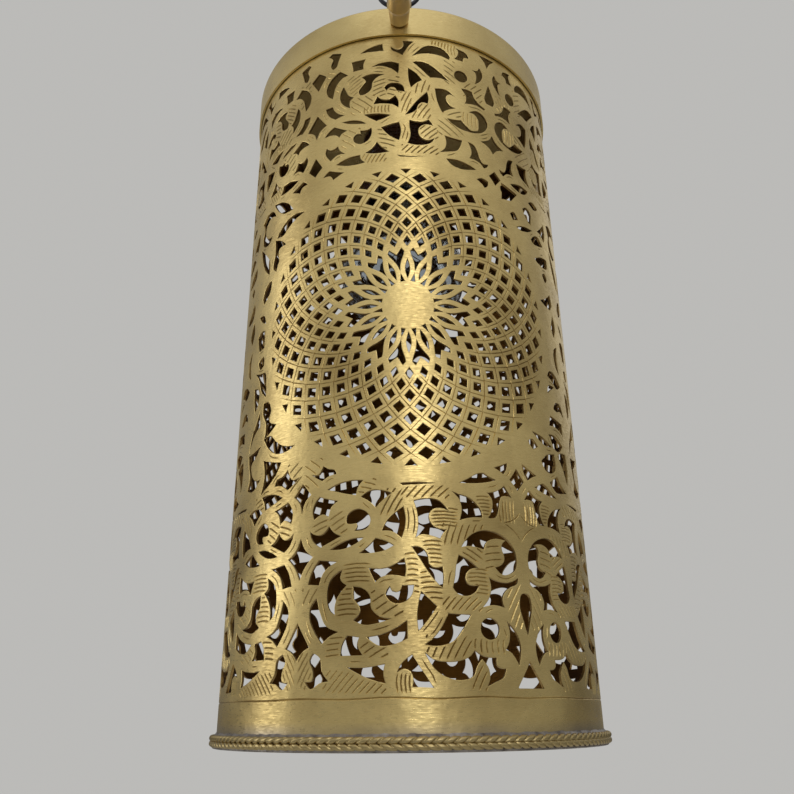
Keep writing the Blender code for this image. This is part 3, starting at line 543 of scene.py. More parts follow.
def turn(name: str, profile: Profile, segments: int = 96, closed: bool = False) -> bpy.types.Object:
    """Turns a piece about Z: a circle extruded and resized from one profile point to the next.

    Args:
        name: The piece's name.
        profile: Points (radius, height) in metres, along the surface.
        segments: Steps round the axis.
        closed: True if the profile ends where it starts, as on a tube with a wall.

    Returns:
        The turned object, with its place in its mesh.
    """
    deselect_all()
    steps = [(max(radius, TINY), height) for radius, height in profile]
    if closed:
        steps.append(steps[0])
    bpy.ops.mesh.primitive_circle_add(vertices=segments, radius=steps[0][0], location=(0, 0, 0))
    obj = bpy.context.active_object
    obj.name = obj.data.name = name
    bpy.ops.object.mode_set(mode="EDIT")
    bpy.ops.mesh.select_all(action="SELECT")
    bpy.ops.transform.translate(value=(0, 0, steps[0][1]))
    for (near, low), (far, high) in zip(steps, steps[1:]):
        bpy.ops.mesh.extrude_edges_move(TRANSFORM_OT_translate={"value": (0, 0, high - low)})
        share = far / near
        bpy.ops.transform.resize(value=(share, share, 1), center_override=(0, 0, high))
    bpy.ops.mesh.select_all(action="SELECT")
    bpy.ops.mesh.remove_doubles(threshold=WELD)
    bpy.ops.mesh.normals_make_consistent(inside=False)
    bpy.ops.object.mode_set(mode="OBJECT")
    smooth(obj)
    return obj


def arc(centre: Point, radius: float, start: float, end: float, steps: int) -> Profile:
    """Points on an arc, its angles in degrees."""
    turns = [math.radians(start + (end - start) * i / steps) for i in range(steps + 1)]
    return [(centre[0] + radius * math.cos(a), centre[1] + radius * math.sin(a)) for a in turns]


def above_rim(profile: Iterable[Point]) -> Profile:
    """A profile in millimetres from the rim's underside, as metres in the lantern's place."""
    return [(radius * MM, RIM_Z + height * MM) for radius, height in profile]


def drill(obj: bpy.types.Object, cutter: bpy.types.Object) -> None:
    """Takes a cutter's shape out of an object and removes the cutter."""
    apply_modifier(obj, "BOOLEAN", operation="DIFFERENCE", solver="EXACT", object=cutter)
    bpy.data.objects.remove(cutter, do_unlink=True)


def copy_of(obj: bpy.types.Object, name: str, place: Matrix) -> bpy.types.Object:
    """A copy of a piece with its own mesh, moved by a matrix."""
    mesh = obj.data.copy()
    mesh.name = name
    mesh.transform(place)
    copy = bpy.data.objects.new(name, mesh)
    bpy.context.scene.collection.objects.link(copy)
    return copy


def tube(name: str, route: list[Vector], radius: float, sides: int, ring: bool) -> bpy.types.Object:
    """A wire of round section along a route, made a mesh.

    Args:
        name: The piece's name.
        route: Points of its middle line, in metres.
        radius: The wire's radius.
        sides: Resolution of its section.
        ring: True if it closes on itself.

    Returns:
        The wire's object.
    """
    curve = bpy.data.curves.new(name, "CURVE")
    curve.dimensions = "3D"
    curve.bevel_depth = radius
    curve.bevel_resolution = sides
    curve.use_fill_caps = not ring
    spline = curve.splines.new("POLY")
    spline.points.add(len(route) - 1)
    for point, place in zip(spline.points, route):
        point.co = (*place, 1.0)
    spline.use_cyclic_u = ring
    obj = bpy.data.objects.new(name, curve)
    bpy.context.scene.collection.objects.link(obj)
    pick(obj)
    bpy.ops.object.convert(target="MESH")
    obj = bpy.context.active_object
    obj.name = obj.data.name = name
    smooth(obj, 60)
    return obj


def finish_piece(obj: bpy.types.Object, finish: Finish, body: str = "lantern",
                 nodes: Sequence[str] = ()) -> bpy.types.Object:
    """Dresses a piece, puts it on its body and hides the CAD nodes that it stands for.

    Args:
        obj: The piece.
        finish: Its finish.
        body: The body that it moves with.
        nodes: The CAD nodes that it stands for.

    Returns:
        The same piece.
    """
    if not obj.data.materials:
        obj.data.materials.append(finish.made())
    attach(obj, body)
    if nodes:
        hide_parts(*nodes)
    LOG.info("%s: %d faces on %s", obj.name, len(obj.data.polygons), body)
    return obj


# ---------------------------------------------------------------------------------------------
# The pierced and chased sheet.


@dataclass
class Outline:
    """One sawn opening of the flat sheet: points (u, h) in millimetres, each sharp or smooth."""

    points: list[Point]
    sharp: list[bool]

    @classmethod
    def read(cls, text: str) -> "Outline":
        """Reads "u h" pairs with a star after each sharp corner."""
        points, sharp = [], []
        for pair in text.split(","):
            sharp.append(pair.strip().endswith("*"))
            along, height = pair.replace("*", "").split()
            points.append((float(along), float(height)))
        return cls(points, sharp)

    @classmethod
    def read_all(cls, text: str) -> list["Outline"]:
        """Reads the outlines of a block of text, one to a line."""
        return [cls.read(line) for line in text.strip().replace("\n ", " ").splitlines()]

    def moved(self, change: Callable[[Point], Point]) -> "Outline":
        """The outline with every point changed."""
        return Outline([change(point) for point in self.points], self.sharp)

    def middle(self) -> Point:
        """The mean of the outline's points."""
        along, height = zip(*self.points)
        return sum(along) / len(along), sum(height) / len(height)

    def grown(self, share: float) -> "Outline":
        """The outline enlarged about its middle."""
        u, h = self.middle()
        return self.moved(lambda point: (u + (point[0] - u) * share, h + (point[1] - h) * share))

    def drawn(self) -> np.ndarray:
        """The outline as the saw follows it: curves through the smooth points, anticlockwise."""
        points = np.array(self.points, float)
        ahead = np.roll(points, -1, axis=0) - points
        reach = np.linalg.norm(ahead, axis=1)
        pace = ahead / reach[:, None]
        before = np.roll(reach, 1)
        total = (before + reach)[:, None]
        smooth_pace = (np.roll(pace, 1, axis=0) * reach[:, None] + pace * before[:, None]) / total
        line = []
        for i, here in enumerate(points):
            j = (i + 1) % len(points)
            length, there = reach[i], points[j]
            leave, arrive = smooth_pace[i] * length, smooth_pace[j] * length
            chord = there - here
            if self.sharp[i] and self.sharp[j]:
                line.append(here)
                continue
            if self.sharp[i]:
                leave = 1.5 * chord - 0.5 * arrive
            if self.sharp[j]:
                arrive = 1.5 * chord - 0.5 * leave
            steps = int(min(4, max(2, round(length / 1.1))))
            for t in np.arange(steps) / steps:
                squared, cubed = t * t, t * t * t
                line.append((2 * cubed - 3 * squared + 1) * here + (cubed - 2 * squared + t) * leave
                            + (3 * squared - 2 * cubed) * there + (cubed - squared) * arrive)
        line = np.array(line)
        nxt = np.roll(line, -1, axis=0)
        area = (line[:, 0] * nxt[:, 1] - nxt[:, 0] * line[:, 1]).sum()
        return line if area > 0 else line[::-1]


@dataclass
class Medallion:
    """A round of lattice inside a plain ring, with sixteen petals about a plain boss."""

    centre: Point = (1.75, 153.0)
    petals: int = 16
    rows: int = 8
    first_row: float = 28.0
    row_step: float = 4.3
    opening: float = 0.55
    stretch: tuple[float, float] = (0.985, 1.015)

    def at(self, radius: float, angle: float) -> Point:
        """The sheet point at a radius and an angle in degrees from straight up."""
        turn_ = math.radians(angle)
        return (self.centre[0] + self.stretch[0] * radius * math.sin(turn_),
                self.centre[1] + self.stretch[1] * radius * math.cos(turn_))

    def ring_of(self, shape: Sequence[tuple[float, float, bool]], start: float, count: int) -> list[Outline]:
        """One opening repeated round the medallion.

        Args:
            shape: Its points (radius, angle from its own axis in degrees, sharp).
            start: The first axis, in degrees from straight up.
            count: How many there are.

        Returns:
            The openings.
        """
        axes = [start + 360 * i / count for i in range(count)]
        return [Outline([self.at(radius, axis + angle) for radius, angle, _ in shape],
                        [sharp for _, _, sharp in shape]) for axis in axes]

    def openings(self) -> list[np.ndarray]:
        """Every opening of the medallion, drawn."""
        half = 180 / self.petals
        lens = ((11.4, 0, True), (15.5, 3.5, False), (19.9, 0, True), (15.5, -3.5, False))
        wedge = ((14.0, 0, True), (10.2, 4.9, True), (10.2, -4.9, True))
        side = ((17.0, 1.6, False), (18.9, 3.6, False), (20.7, 5.9, False), (22.2, 7.5, False),
                (23.5, 8.2, True), (24.9, 5.7, True))
        fork = [(14.4, 0, True), *side, (22.0, 0, True)]
        fork += [(radius, -angle, sharp) for radius, angle, sharp in side[::-1]]
        holes = self.ring_of(lens, 0, self.petals) + self.ring_of(wedge, half, self.petals)
        holes += self.ring_of(fork, half, self.petals)
        spread = half * self.opening
        reach = self.row_step * self.opening
        for row in range(self.rows):
            radius = self.first_row + row * self.row_step
            cell = ((radius + reach, 0, True), (radius, spread / 2, True), (radius - reach, 0, True),
                    (radius, -spread / 2, True))
            holes += self.ring_of(cell, half / 2 * (row % 2), 2 * self.petals)
        last = ((60.0, 0, True), (62.4, 2.0, True), (62.4, -2.0, True))
        holes += self.ring_of(last, half / 2 * (self.rows % 2), 2 * self.petals)
        return [hole.drawn() for hole in holes]

    def lines(self) -> list[np.ndarray]:
        """The lines scribed down the middle of the lattice's bars, both ways round."""
        step = 90 / self.petals
        found = []
        for hand in (1, -1):
            for i in range(2 * self.petals):
                places = [self.at(self.first_row + row * self.row_step,
                                  (2 * i + 1 + hand * row) * step) for row in range(0, self.rows + 1)]
                found.append(np.array(places))
        return found


@dataclass
class FlatSheet:
    """One third of the sheet, laid flat, with its openings sawn and its leaves chased."""

    left: float = -75.25
    right: float = 78.75
    axis_left: float = -38.2
    axis_right: float = 41.7
    squeeze: float = 0.9266
    side_growth: float = 1.35
    strip: Point = (38.0, 64.0)
    ring_clear: float = 65.0
    small: float = 15.0
    bends: int = 28
    saw_round: float = 0.28
    saw_drop: float = 0.14
    vein_width: float = 0.36
    vein_depth: float = 0.27
    line_width: float = 0.27
    line_depth: float = 0.20
    bar: Point = (1.3, 5.4)
    broad: float = 4.1
    inset: float = 1.2
    cell: float = 0.25
    margin: int = 1
    vein_bow: float = 0.5
    shortest_vein: float = 1.2
    shortest_line: float = 3.2
    longest_gap: float = 1.7
    pace: float = 0.7
    rim_darkening: float = 0.25
    longest_miter: float = 1.8
    border_height: float = 15.3
    border_sway: float = 0.25
    points: list[Point] = field(default_factory=list)
    depth: list[float] = field(default_factory=list)
    darkening: list[float] = field(default_factory=list)
    sawn: list[bool] = field(default_factory=list)
    faces: list[list[int]] = field(default_factory=list)
    edges: list[tuple[int, int]] = field(default_factory=list)
    veined: list[np.ndarray] = field(default_factory=list)
    deep_edges: list[tuple[int, int]] = field(default_factory=list)

    def squeezed(self, axis: float) -> Callable[[Point], Point]:
        """The change that draws a point beyond an axis closer to it, as the repeat beside is."""
        return lambda point: (axis + self.squeeze * (point[0] - axis), point[1])

    def mirrored(self, axis: float) -> Callable[[Point], Point]:
        """The change to a point's mirror image over an axis."""
        return lambda point: self.squeezed(axis)((2 * axis - point[0], point[1]))

    def repeats(self) -> list[Callable[[Point], Point]]:
        """The drawn repeat as it is, and its mirror image on either side."""
        return [lambda point: point, self.mirrored(self.axis_right), self.mirrored(self.axis_left)]

    def widened(self, hole: Outline) -> Outline:
        """Opens up the holes of the narrow strip between two medallions, where they are the largest."""
        u, h = hole.middle()
        across, up = u - Medallion.centre[0], h - Medallion.centre[1]
        size = np.ptp(np.array(hole.points), axis=0).max()
        beside = abs(across) > self.strip[0] and abs(up) < self.strip[1]
        clear = math.hypot(across, up) > self.ring_clear and size < self.small
        return hole.grown(self.side_growth) if beside and clear else hole

    def touches(self, line: np.ndarray) -> bool:
        """True if part of a line lies on this panel."""
        return bool(line[:, 0].max() > self.left and line[:, 0].min() < self.right)

    def scroll_openings(self) -> list[np.ndarray]:
        """Every opening of the panel's scrolls and leaves."""
        unit = Outline.read_all(UNIT_HOLES)
        for along, height, radius in ROUND_HOLES:
            ring = arc((along, height), radius, 0, 330, 11)
            unit.append(Outline(ring, [False] * len(ring)))
        holes = [hole.moved(change) for change in self.repeats() for hole in unit]
        for text in (LEFT_AXIS_HOLES, RIGHT_AXIS_HOLES):
            holes += Outline.read_all(text)
        for text, change in ((RIGHT_CORNER_HOLES, self.squeezed(self.axis_right)),
                             (LEFT_CORNER_HOLES, self.squeezed(self.axis_left))):
            holes += [hole.moved(change) for hole in Outline.read_all(text)]
        holes = [self.widened(hole).drawn() for hole in holes]
        return [hole for hole in holes if self.touches(hole)]

    def add_point(self, place: Iterable[float], depth: float = 0.0, darkening: float = 0.0,
                  sawn: bool = False) -> int:
        """Puts a point on the sheet.

        Args:
            place: Its (u, h).
            depth: How far it is pressed in, in millimetres.
            darkening: How much it is darkened, from 0 to 1: tarnish and painted shade in grooves, a plain
                darkening on the openings' rims.
            sawn: True on the edge of an opening.

        Returns:
            Its number.
        """
        along, height = place
        self.points.append((float(along), float(height)))
        self.depth.append(depth)
        self.darkening.append(darkening)
        self.sawn.append(sawn)
        return len(self.points) - 1

    def add_opening(self, line: np.ndarray) -> None:
        """Saws one opening and rounds its edge over."""
        # Each opening's edge points are darkened a little.
        numbers = [self.add_point(place, self.saw_drop, self.rim_darkening, True) for place in line]
        self.faces.append(numbers)
        ahead = np.roll(line, -1, axis=0) - line
        ahead /= np.linalg.norm(ahead, axis=1)[:, None]
        out = np.stack([ahead[:, 1], -ahead[:, 0]], axis=1)
        both = out + np.roll(out, 1, axis=0)
        size = np.linalg.norm(both, axis=1)
        both /= np.maximum(size, 0.2)[:, None]
        miter = np.minimum(2 / np.maximum(size, 0.2), self.longest_miter)
        outer = line + both * (self.saw_round * miter)[:, None]
        ring = [self.add_point(place) for place in outer]
        self.edges += list(zip(ring, ring[1:] + ring[:1]))

    def hole_map(self, holes: list[np.ndarray]) -> np.ndarray:
        """Which opening each quarter-millimetre cell of the panel lies in, or -1 for metal."""
        wide = int((self.right - self.left) / self.cell) + 1
        high = int((SHADE_TOP - RIM_Z) / MM / self.cell) + 1
        owner = np.full((wide, high), -1)
        for number, hole in enumerate(holes):
            low = np.maximum(((hole.min(0) - (self.left, 0)) / self.cell).astype(int), 0)
            top = np.minimum(((hole.max(0) - (self.left, 0)) / self.cell).astype(int) + 2, (wide, high))
            if (top <= low).any():
                continue
            x = (self.left + np.arange(low[0], top[0]) * self.cell)[:, None]
            y = (np.arange(low[1], top[1]) * self.cell)[None, :]
            inside = np.zeros((top[0] - low[0], top[1] - low[1]), bool)
            for (ax, ay), (bx, by) in zip(hole, np.roll(hole, -1, axis=0)):
                if ay != by:
                    crosses = ((ay > y) != (by > y)) & (x < (bx - ax) * (y - ay) / (by - ay) + ax)
                    inside ^= crosses
            owner[low[0]:top[0], low[1]:top[1]][inside] = number
        return owner

    @staticmethod
    def grown(cells: np.ndarray, times: int) -> np.ndarray:
        """A map's true cells spread by that many cells."""
        for _ in range(times):
            wider = cells.copy()
            wider[1:] |= cells[:-1]
            wider[:-1] |= cells[1:]
            wider[:, 1:] |= cells[:, :-1]
            wider[:, :-1] |= cells[:, 1:]
            cells = wider
        return cells

    def cell_of(self, place: np.ndarray) -> np.ndarray:
        """The map cell of a place or of many."""
        return ((place - (self.left, 0)) / self.cell + 0.5).astype(int)

    def chase(self, solid: np.ndarray) -> None:
        """Cuts the leaves' veins wherever there is metal for them."""
        for area in VEINS.replace("\n", ",").split(","):
            if not area.strip():
                continue
            u_low, u_high, h_low, h_high, direction, count = (float(x) for x in area.split())
            for change in self.repeats():
                self.chase_area((u_low, u_high), (h_low, h_high), direction, int(count), change, solid)

    def chase_area(self, across: Point, heights: Point, direction: float, count: int,
                   change: Callable[[Point], Point], solid: np.ndarray) -> None:
        """Cuts one leaf's strokes, side by side.

        Args:
            across: The leaf's span along the girth.
            heights: Its span of heights.
            direction: The strokes' direction in degrees.
            count: How many strokes.
            change: Where the repeat lies.
            solid: The map of the metal.
        """
        turn_ = math.radians(direction)
        along = np.array([math.cos(turn_), math.sin(turn_)])
        side = np.array([-along[1], along[0]])
        middle = np.array([sum(across) / 2, sum(heights) / 2])
        size = np.array([across[1] - across[0], heights[1] - heights[0]])
        reach, breadth = (np.abs(along) * size).sum() / 2, (np.abs(side) * size).sum() / 2
        low, high = np.array([across[0], heights[0]]), np.array([across[1], heights[1]])
        for i in range(count):
            start = middle + side * breadth * (2 * (i + 0.5) / count - 1)
            runs, run = [], []
            for s in np.arange(-reach, reach, self.cell):
                bow = self.vein_bow * (1 - (s / reach) ** 2)
                spot = start + along * s + side * bow
                place = np.array(change((spot[0], spot[1])))
                cell = self.cell_of(place)
                kept = (spot >= low).all() and (spot <= high).all()
                kept = kept and (cell >= 0).all() and (cell < solid.shape).all()
                if kept and solid[cell[0], cell[1]]:
                    run.append(place)
                elif run:
                    runs.append(run)
                    run = []
            for run in [*runs, run]:
                if len(run) * self.cell > self.shortest_vein:
                    self.add_stroke(np.array(run))

    def add_stroke(self, run: np.ndarray) -> None:
        """Cuts one stroke of a leaf along a run of points."""
        last = len(run) - 1
        picked = run[[0, round(last * 0.16), last // 2, round(last * 0.84), last]]
        self.veined.append(run)
        self.add_groove(picked, self.vein_width, self.vein_depth)

    def add_groove(self, run: np.ndarray, width: float, deep: float) -> None:
        """Cuts a groove that runs out at both ends.

        Args:
            run: Its middle line.
            width: Half its width.
            deep: Its depth.
        """
        ahead = np.gradient(run, axis=0)
        ahead /= np.maximum(np.linalg.norm(ahead, axis=1), 1e-9)[:, None]
        side = np.stack([-ahead[:, 1], ahead[:, 0]], axis=1) * width
        first, last = self.add_point(run[0]), self.add_point(run[-1])
        for offset, low in ((-1, 0.0), (0, deep), (1, 0.0)):
            places = run[1:-1] + side[1:-1] * offset
            # The groove's middle line is darkened fully: tarnish and painted shade.
            row = [self.add_point(place, low, float(low > 0)) for place in places]
            row = [first, *row, last]
            self.edges += list(zip(row, row[1:]))
            if low:
                self.deep_edges += list(zip(row, row[1:]))

    def scribe_bars(self, holes: list[np.ndarray], owner: np.ndarray) -> None:
        """Scribes a line down the middle of each bar between two openings, clear of the leaves.

        Args:
            holes: The openings of the scrolls.
            owner: The map of the openings.
        """
        leaves = np.zeros(owner.shape, bool)
        for run in self.veined:
            cells = self.cell_of(run)
            leaves[cells[:, 0], cells[:, 1]] = True
        leaves = self.grown(leaves, 3)
        reach = np.arange(0.5, self.bar[1], self.cell / 2)
        for number, hole in enumerate(holes):
            run: list[np.ndarray] = []
            for place, normal in self.walk(hole):
                cells = self.cell_of(place + reach[:, None] * normal)
                inside = (cells >= 0).all() and (cells < owner.shape).all()
                met = owner[cells[:, 0], cells[:, 1]] if inside else np.array([-1])
                hits = np.flatnonzero(met >= 0)
                width = reach[hits[0]] if len(hits) else 0.0
                other = met[hits[0]] if len(hits) else -1
                broad = width > self.broad
                middle = place + normal * (self.inset if broad else width / 2)
                spot = self.cell_of(middle)
                good = self.bar[0] < width and (number < other or broad) and other < len(holes)
                good = good and not leaves[spot[0], spot[1]]
                if run and good and np.linalg.norm(middle - run[-1]) > self.longest_gap:
                    self.scribe(run)
                    run = []
                if good:
                    run.append(middle)
                elif run:
                    self.scribe(run)
                    run = []
            self.scribe(run)

    def walk(self, hole: np.ndarray) -> Iterable[tuple[np.ndarray, np.ndarray]]:
        """Even steps round an opening, each with the direction into the metal."""
        for here, there in zip(hole, np.roll(hole, -1, axis=0)):
            ahead = there - here
            length = np.linalg.norm(ahead)
            ahead = ahead / length
            steps = max(1, round(length / self.pace))
            for i in range(steps):
                yield here + ahead * (i + 0.5) * length / steps, np.array([ahead[1], -ahead[0]])

    def scribe(self, run: list[np.ndarray]) -> None:
        """Cuts a fine line along a run, evened out, if it is long enough to be worth a stroke."""
        if len(run) < 5:
            return
        line = np.array(run)
        for _ in range(3):
            line[1:-1] = (line[:-2] + line[1:-1] * 2 + line[2:]) / 4
        if np.linalg.norm(np.diff(line, axis=0), axis=1).sum() > self.shortest_line:
            self.add_groove(line[np.linspace(0, len(line) - 1, max(5, len(line) // 2)).astype(int)],
                            self.line_width, self.line_depth)

    def add_star(self) -> None:
        """Cuts the four-pointed star between the lower scrolls."""
        middle = np.array([self.axis_right, 70.4])
        tips = [np.array(tip) for tip in ((0.0, 4.9), (7.3, 0.8), (0.0, -5.4), (-7.4, 0.8))]
        for here, there in zip(tips, tips[1:] + tips[:1]):
            inner = (here + there) * 0.27
            steps = np.linspace(0, 1, 7)[:, None]
            curve = here * (1 - steps) ** 2 + inner * 2 * steps * (1 - steps) + there * steps ** 2
            self.add_groove(middle + curve, 0.26, 0.24)

    def add_border(self, height: float, sway: float) -> None:
        """Cuts the fine line that runs round the sheet at a height, swaying a little."""
        count = 56
        rows: list[list[int]] = []
        for offset, deep in ((-self.vein_width, 0.0), (0.0, 1.0), (self.vein_width, 0.0)):
            row = []
            for i in range(count + 1):
                share = i / count
                along = self.left + (self.right - self.left) * share
                wave = sway * math.sin(2 * math.pi * 5 * share) * math.sin(math.pi * share)
                # Its middle line is darkened fully: tarnish and painted shade.
                row.append(self.add_point((along, height + offset + wave), self.vein_depth * deep, deep))
            rows.append(row)
        for row in rows:
            self.edges += list(zip(row, row[1:]))

    def draw(self) -> None:
        """Lays out the panel: its bends, openings, veins and border lines."""
        top = (SHADE_TOP - RIM_Z) / MM
        width = (self.right - self.left) / self.bends
        for i in range(self.bends):
            near, far = self.left + i * width, self.left + (i + 1) * width
            corners = ((near, 0.0), (far, 0.0), (far, top), (near, top))
            self.faces.append([self.add_point(corner) for corner in corners])
        scrolls, medallion = self.scroll_openings(), Medallion()
        holes = scrolls + medallion.openings()
        for hole in holes:
            self.add_opening(hole)
        owner = self.hole_map(holes)
        self.chase(~self.grown(owner >= 0, self.margin))
        self.scribe_bars(scrolls, owner)
        for line in medallion.lines():
            self.add_groove(line, self.line_width, self.line_depth)
        self.add_star()
        self.add_border(self.border_height, self.border_sway)


@dataclass
class PiercedShade:
    """The rolled cylinder: three equal panels of pierced sheet, soldered at their seams."""

    panels: int = 3
    radius: float = SHADE_RADIUS
    wall: float = SHEET

    def rolled(self, spots: np.ndarray, radius: np.ndarray) -> np.ndarray:
        """Flat points rolled on a cylinder, the front of the lantern at -Y.

        Args:
            spots: Points (u, h) in millimetres.
            radius: Each point's distance from the axis, in metres.

        Returns:
            Places in metres.
        """
        angle = spots[:, 0] * MM / self.radius
        return np.stack([radius * np.sin(angle), -radius * np.cos(angle), RIM_Z + spots[:, 1] * MM], 1)

    def panel(self) -> bpy.types.Mesh:
        """The mesh of one panel, with the edges' rounding and the veins in it."""
        sheet = FlatSheet()
        sheet.draw()
        points = [Vector(point) for point in sheet.points]
        spots, _, triangles, origins, _, owners = delaunay_2d_cdt(
            points, sheet.edges, sheet.faces, 0, 1e-6, True)
        kept = np.array([tri for tri, inside in zip(triangles, owners)
                         if inside and all(owner < sheet.bends for owner in inside)])
        depth, darkening, sawn = np.array(sheet.depth), np.array(sheet.darkening), np.array(sheet.sawn)
        count = len(spots)
        low, dark, edge = np.zeros(count), np.zeros(count), np.zeros(count, bool)
        for i, source in enumerate(origins):
            if source:
                low[i], dark[i], edge[i] = depth[source].max(), darkening[source].max(), sawn[source].any()
        self.deepen(sheet, spots, [i for i, source in enumerate(origins) if not source], low, dark)
        flat = np.array(spots, float)
        flat[:, 0] = np.clip(flat[:, 0], sheet.left, sheet.right)
        outside = self.rolled(flat, self.radius - low * MM)
        inside_ = self.rolled(flat, np.full(count, self.radius - self.wall))
        sides = np.concatenate([kept[:, [0, 1]], kept[:, [1, 2]], kept[:, [2, 0]]])
        keys = np.sort(sides, axis=1)
        _, index, times = np.unique(keys, axis=0, return_inverse=True, return_counts=True)
        rims = sides[times[index.reshape(-1)] == 1]
        used = np.unique(kept)
        renumber = np.full(count, -1)
        renumber[used] = np.arange(len(used))
        kept, rims = renumber[kept], renumber[rims]
        low, dark, edge = low[used], dark[used], edge[used]
        n = len(used)
        places = np.concatenate([outside[used], inside_[used]])
        walls = np.stack([rims[:, 1], rims[:, 0], rims[:, 0] + n, rims[:, 1] + n], axis=1)
        faces = [*kept.tolist(), *(kept[:, ::-1] + n).tolist(), *walls.tolist()]
        mesh = bpy.data.meshes.new("shade_panel")
        mesh.from_pydata(places.tolist(), [], faces)
        kinds = np.concatenate([np.zeros(len(kept)), np.ones(len(kept)), np.full(len(walls), 2)])
        mesh.polygons.foreach_set("material_index", kinds.astype(np.int32))
        # The groove attribute carries the darkening: tarnish and painted shade in grooves, a plain darkening
        # on the openings' rims.
        groove = mesh.attributes.new("groove", "FLOAT", "POINT")
        groove.data.foreach_set("value", np.concatenate([dark, np.zeros(n)]).astype(np.float32))
        for finish in (Finish.SHADE, Finish.INSIDE, Finish.EDGE):
            mesh.materials.append(finish.made())
        mesh.shade_smooth()
        mesh.update()
        self.set_normals(mesh, kept, low, edge, places)
        return mesh

    @staticmethod
    def deepen(sheet: FlatSheet, spots: list[Vector], crossings: list[int], low: np.ndarray,
               dark: np.ndarray) -> None:
        """Keeps a groove deep where another one's lines cross it.

        Args:
            sheet: The panel.
            spots: Every point of its triangles.
            crossings: The numbers of those that only a crossing made.
            low: How far each point is pressed in; changed here.
            dark: How dark each point is; changed here.
        """
        points, depth = np.array(sheet.points), np.array(sheet.depth)
        darkening, pairs = np.array(sheet.darkening), np.array(sheet.deep_edges)
        start = points[pairs[:, 0]]
        along = points[pairs[:, 1]] - start
        size = (along ** 2).sum(axis=1)
        for i in crossings:
            reach = np.array(spots[i]) - start
            share = np.clip((reach * along).sum(axis=1) / size, 0, 1)
            gap = np.linalg.norm(reach - along * share[:, None], axis=1)
            for j in np.flatnonzero(gap < 1e-3):
                for values, source in ((low, depth), (dark, darkening)):
                    here = source[pairs[j, 0]] * (1 - share[j]) + source[pairs[j, 1]] * share[j]
                    values[i] = max(values[i], here)

    @staticmethod
    def set_normals(mesh: bpy.types.Mesh, kept: np.ndarray, low: np.ndarray, edge: np.ndarray,
                    places: np.ndarray) -> None:
        """Shades the rolled faces as a true cylinder and leaves the cuts crisp.

        Args:
            mesh: The panel.
            kept: The outer triangles.
            low: How far each outer point is pressed in.
            edge: Which outer points lie on an opening's edge.
            places: Every point's place.
        """
        radial = places.copy()
        radial[:, 2] = 0
        radial /= np.linalg.norm(radial, axis=1)[:, None]
        corners = np.array([loop.vertex_index for loop in mesh.loops])
        owners = np.repeat(np.arange(len(mesh.polygons)), [len(p.vertices) for p in mesh.polygons])
        flat = np.array([tuple(p.normal) for p in mesh.polygons])[owners]
        count = len(kept)
        outer, inner = owners < count, (owners >= count) & (owners < 2 * count)
        loops = flat.copy()
        loops[inner] = -radial[corners[inner]]
        cut = ((low > 0) & ~edge)[kept].any(axis=1)
        cut_loops = outer & np.pad(cut, (0, len(mesh.polygons) - count))[owners]
        plain = outer & ~cut_loops
        pressed = np.zeros(len(corners), bool)
        pressed[outer] = edge[corners[outer]]
        loops[plain & ~pressed] = radial[corners[plain & ~pressed]]
        rounded = plain & pressed
        loops[rounded] = flat[rounded] * 1.3 + radial[corners[rounded]] * 0.3
        loops /= np.maximum(np.linalg.norm(loops, axis=1), 1e-9)[:, None]
        mesh.normals_split_custom_set(loops.tolist())

    def build(self) -> None:
        """Makes the three panels, one modelled and the others copied from it."""
        mesh = self.panel()
        for i in range(self.panels):
            own = mesh.copy() if i else mesh
            own.name = f"shade_panel_{i + 1}"
            own.transform(Matrix.Rotation(2 * math.pi * i / self.panels, 4, "Z"))
            obj = bpy.data.objects.new(own.name, own)
            bpy.context.scene.collection.objects.link(obj)
            finish_piece(obj, Finish.SHADE, nodes=("shade",))


# ---------------------------------------------------------------------------------------------
# The rim, cap, screws and stem.


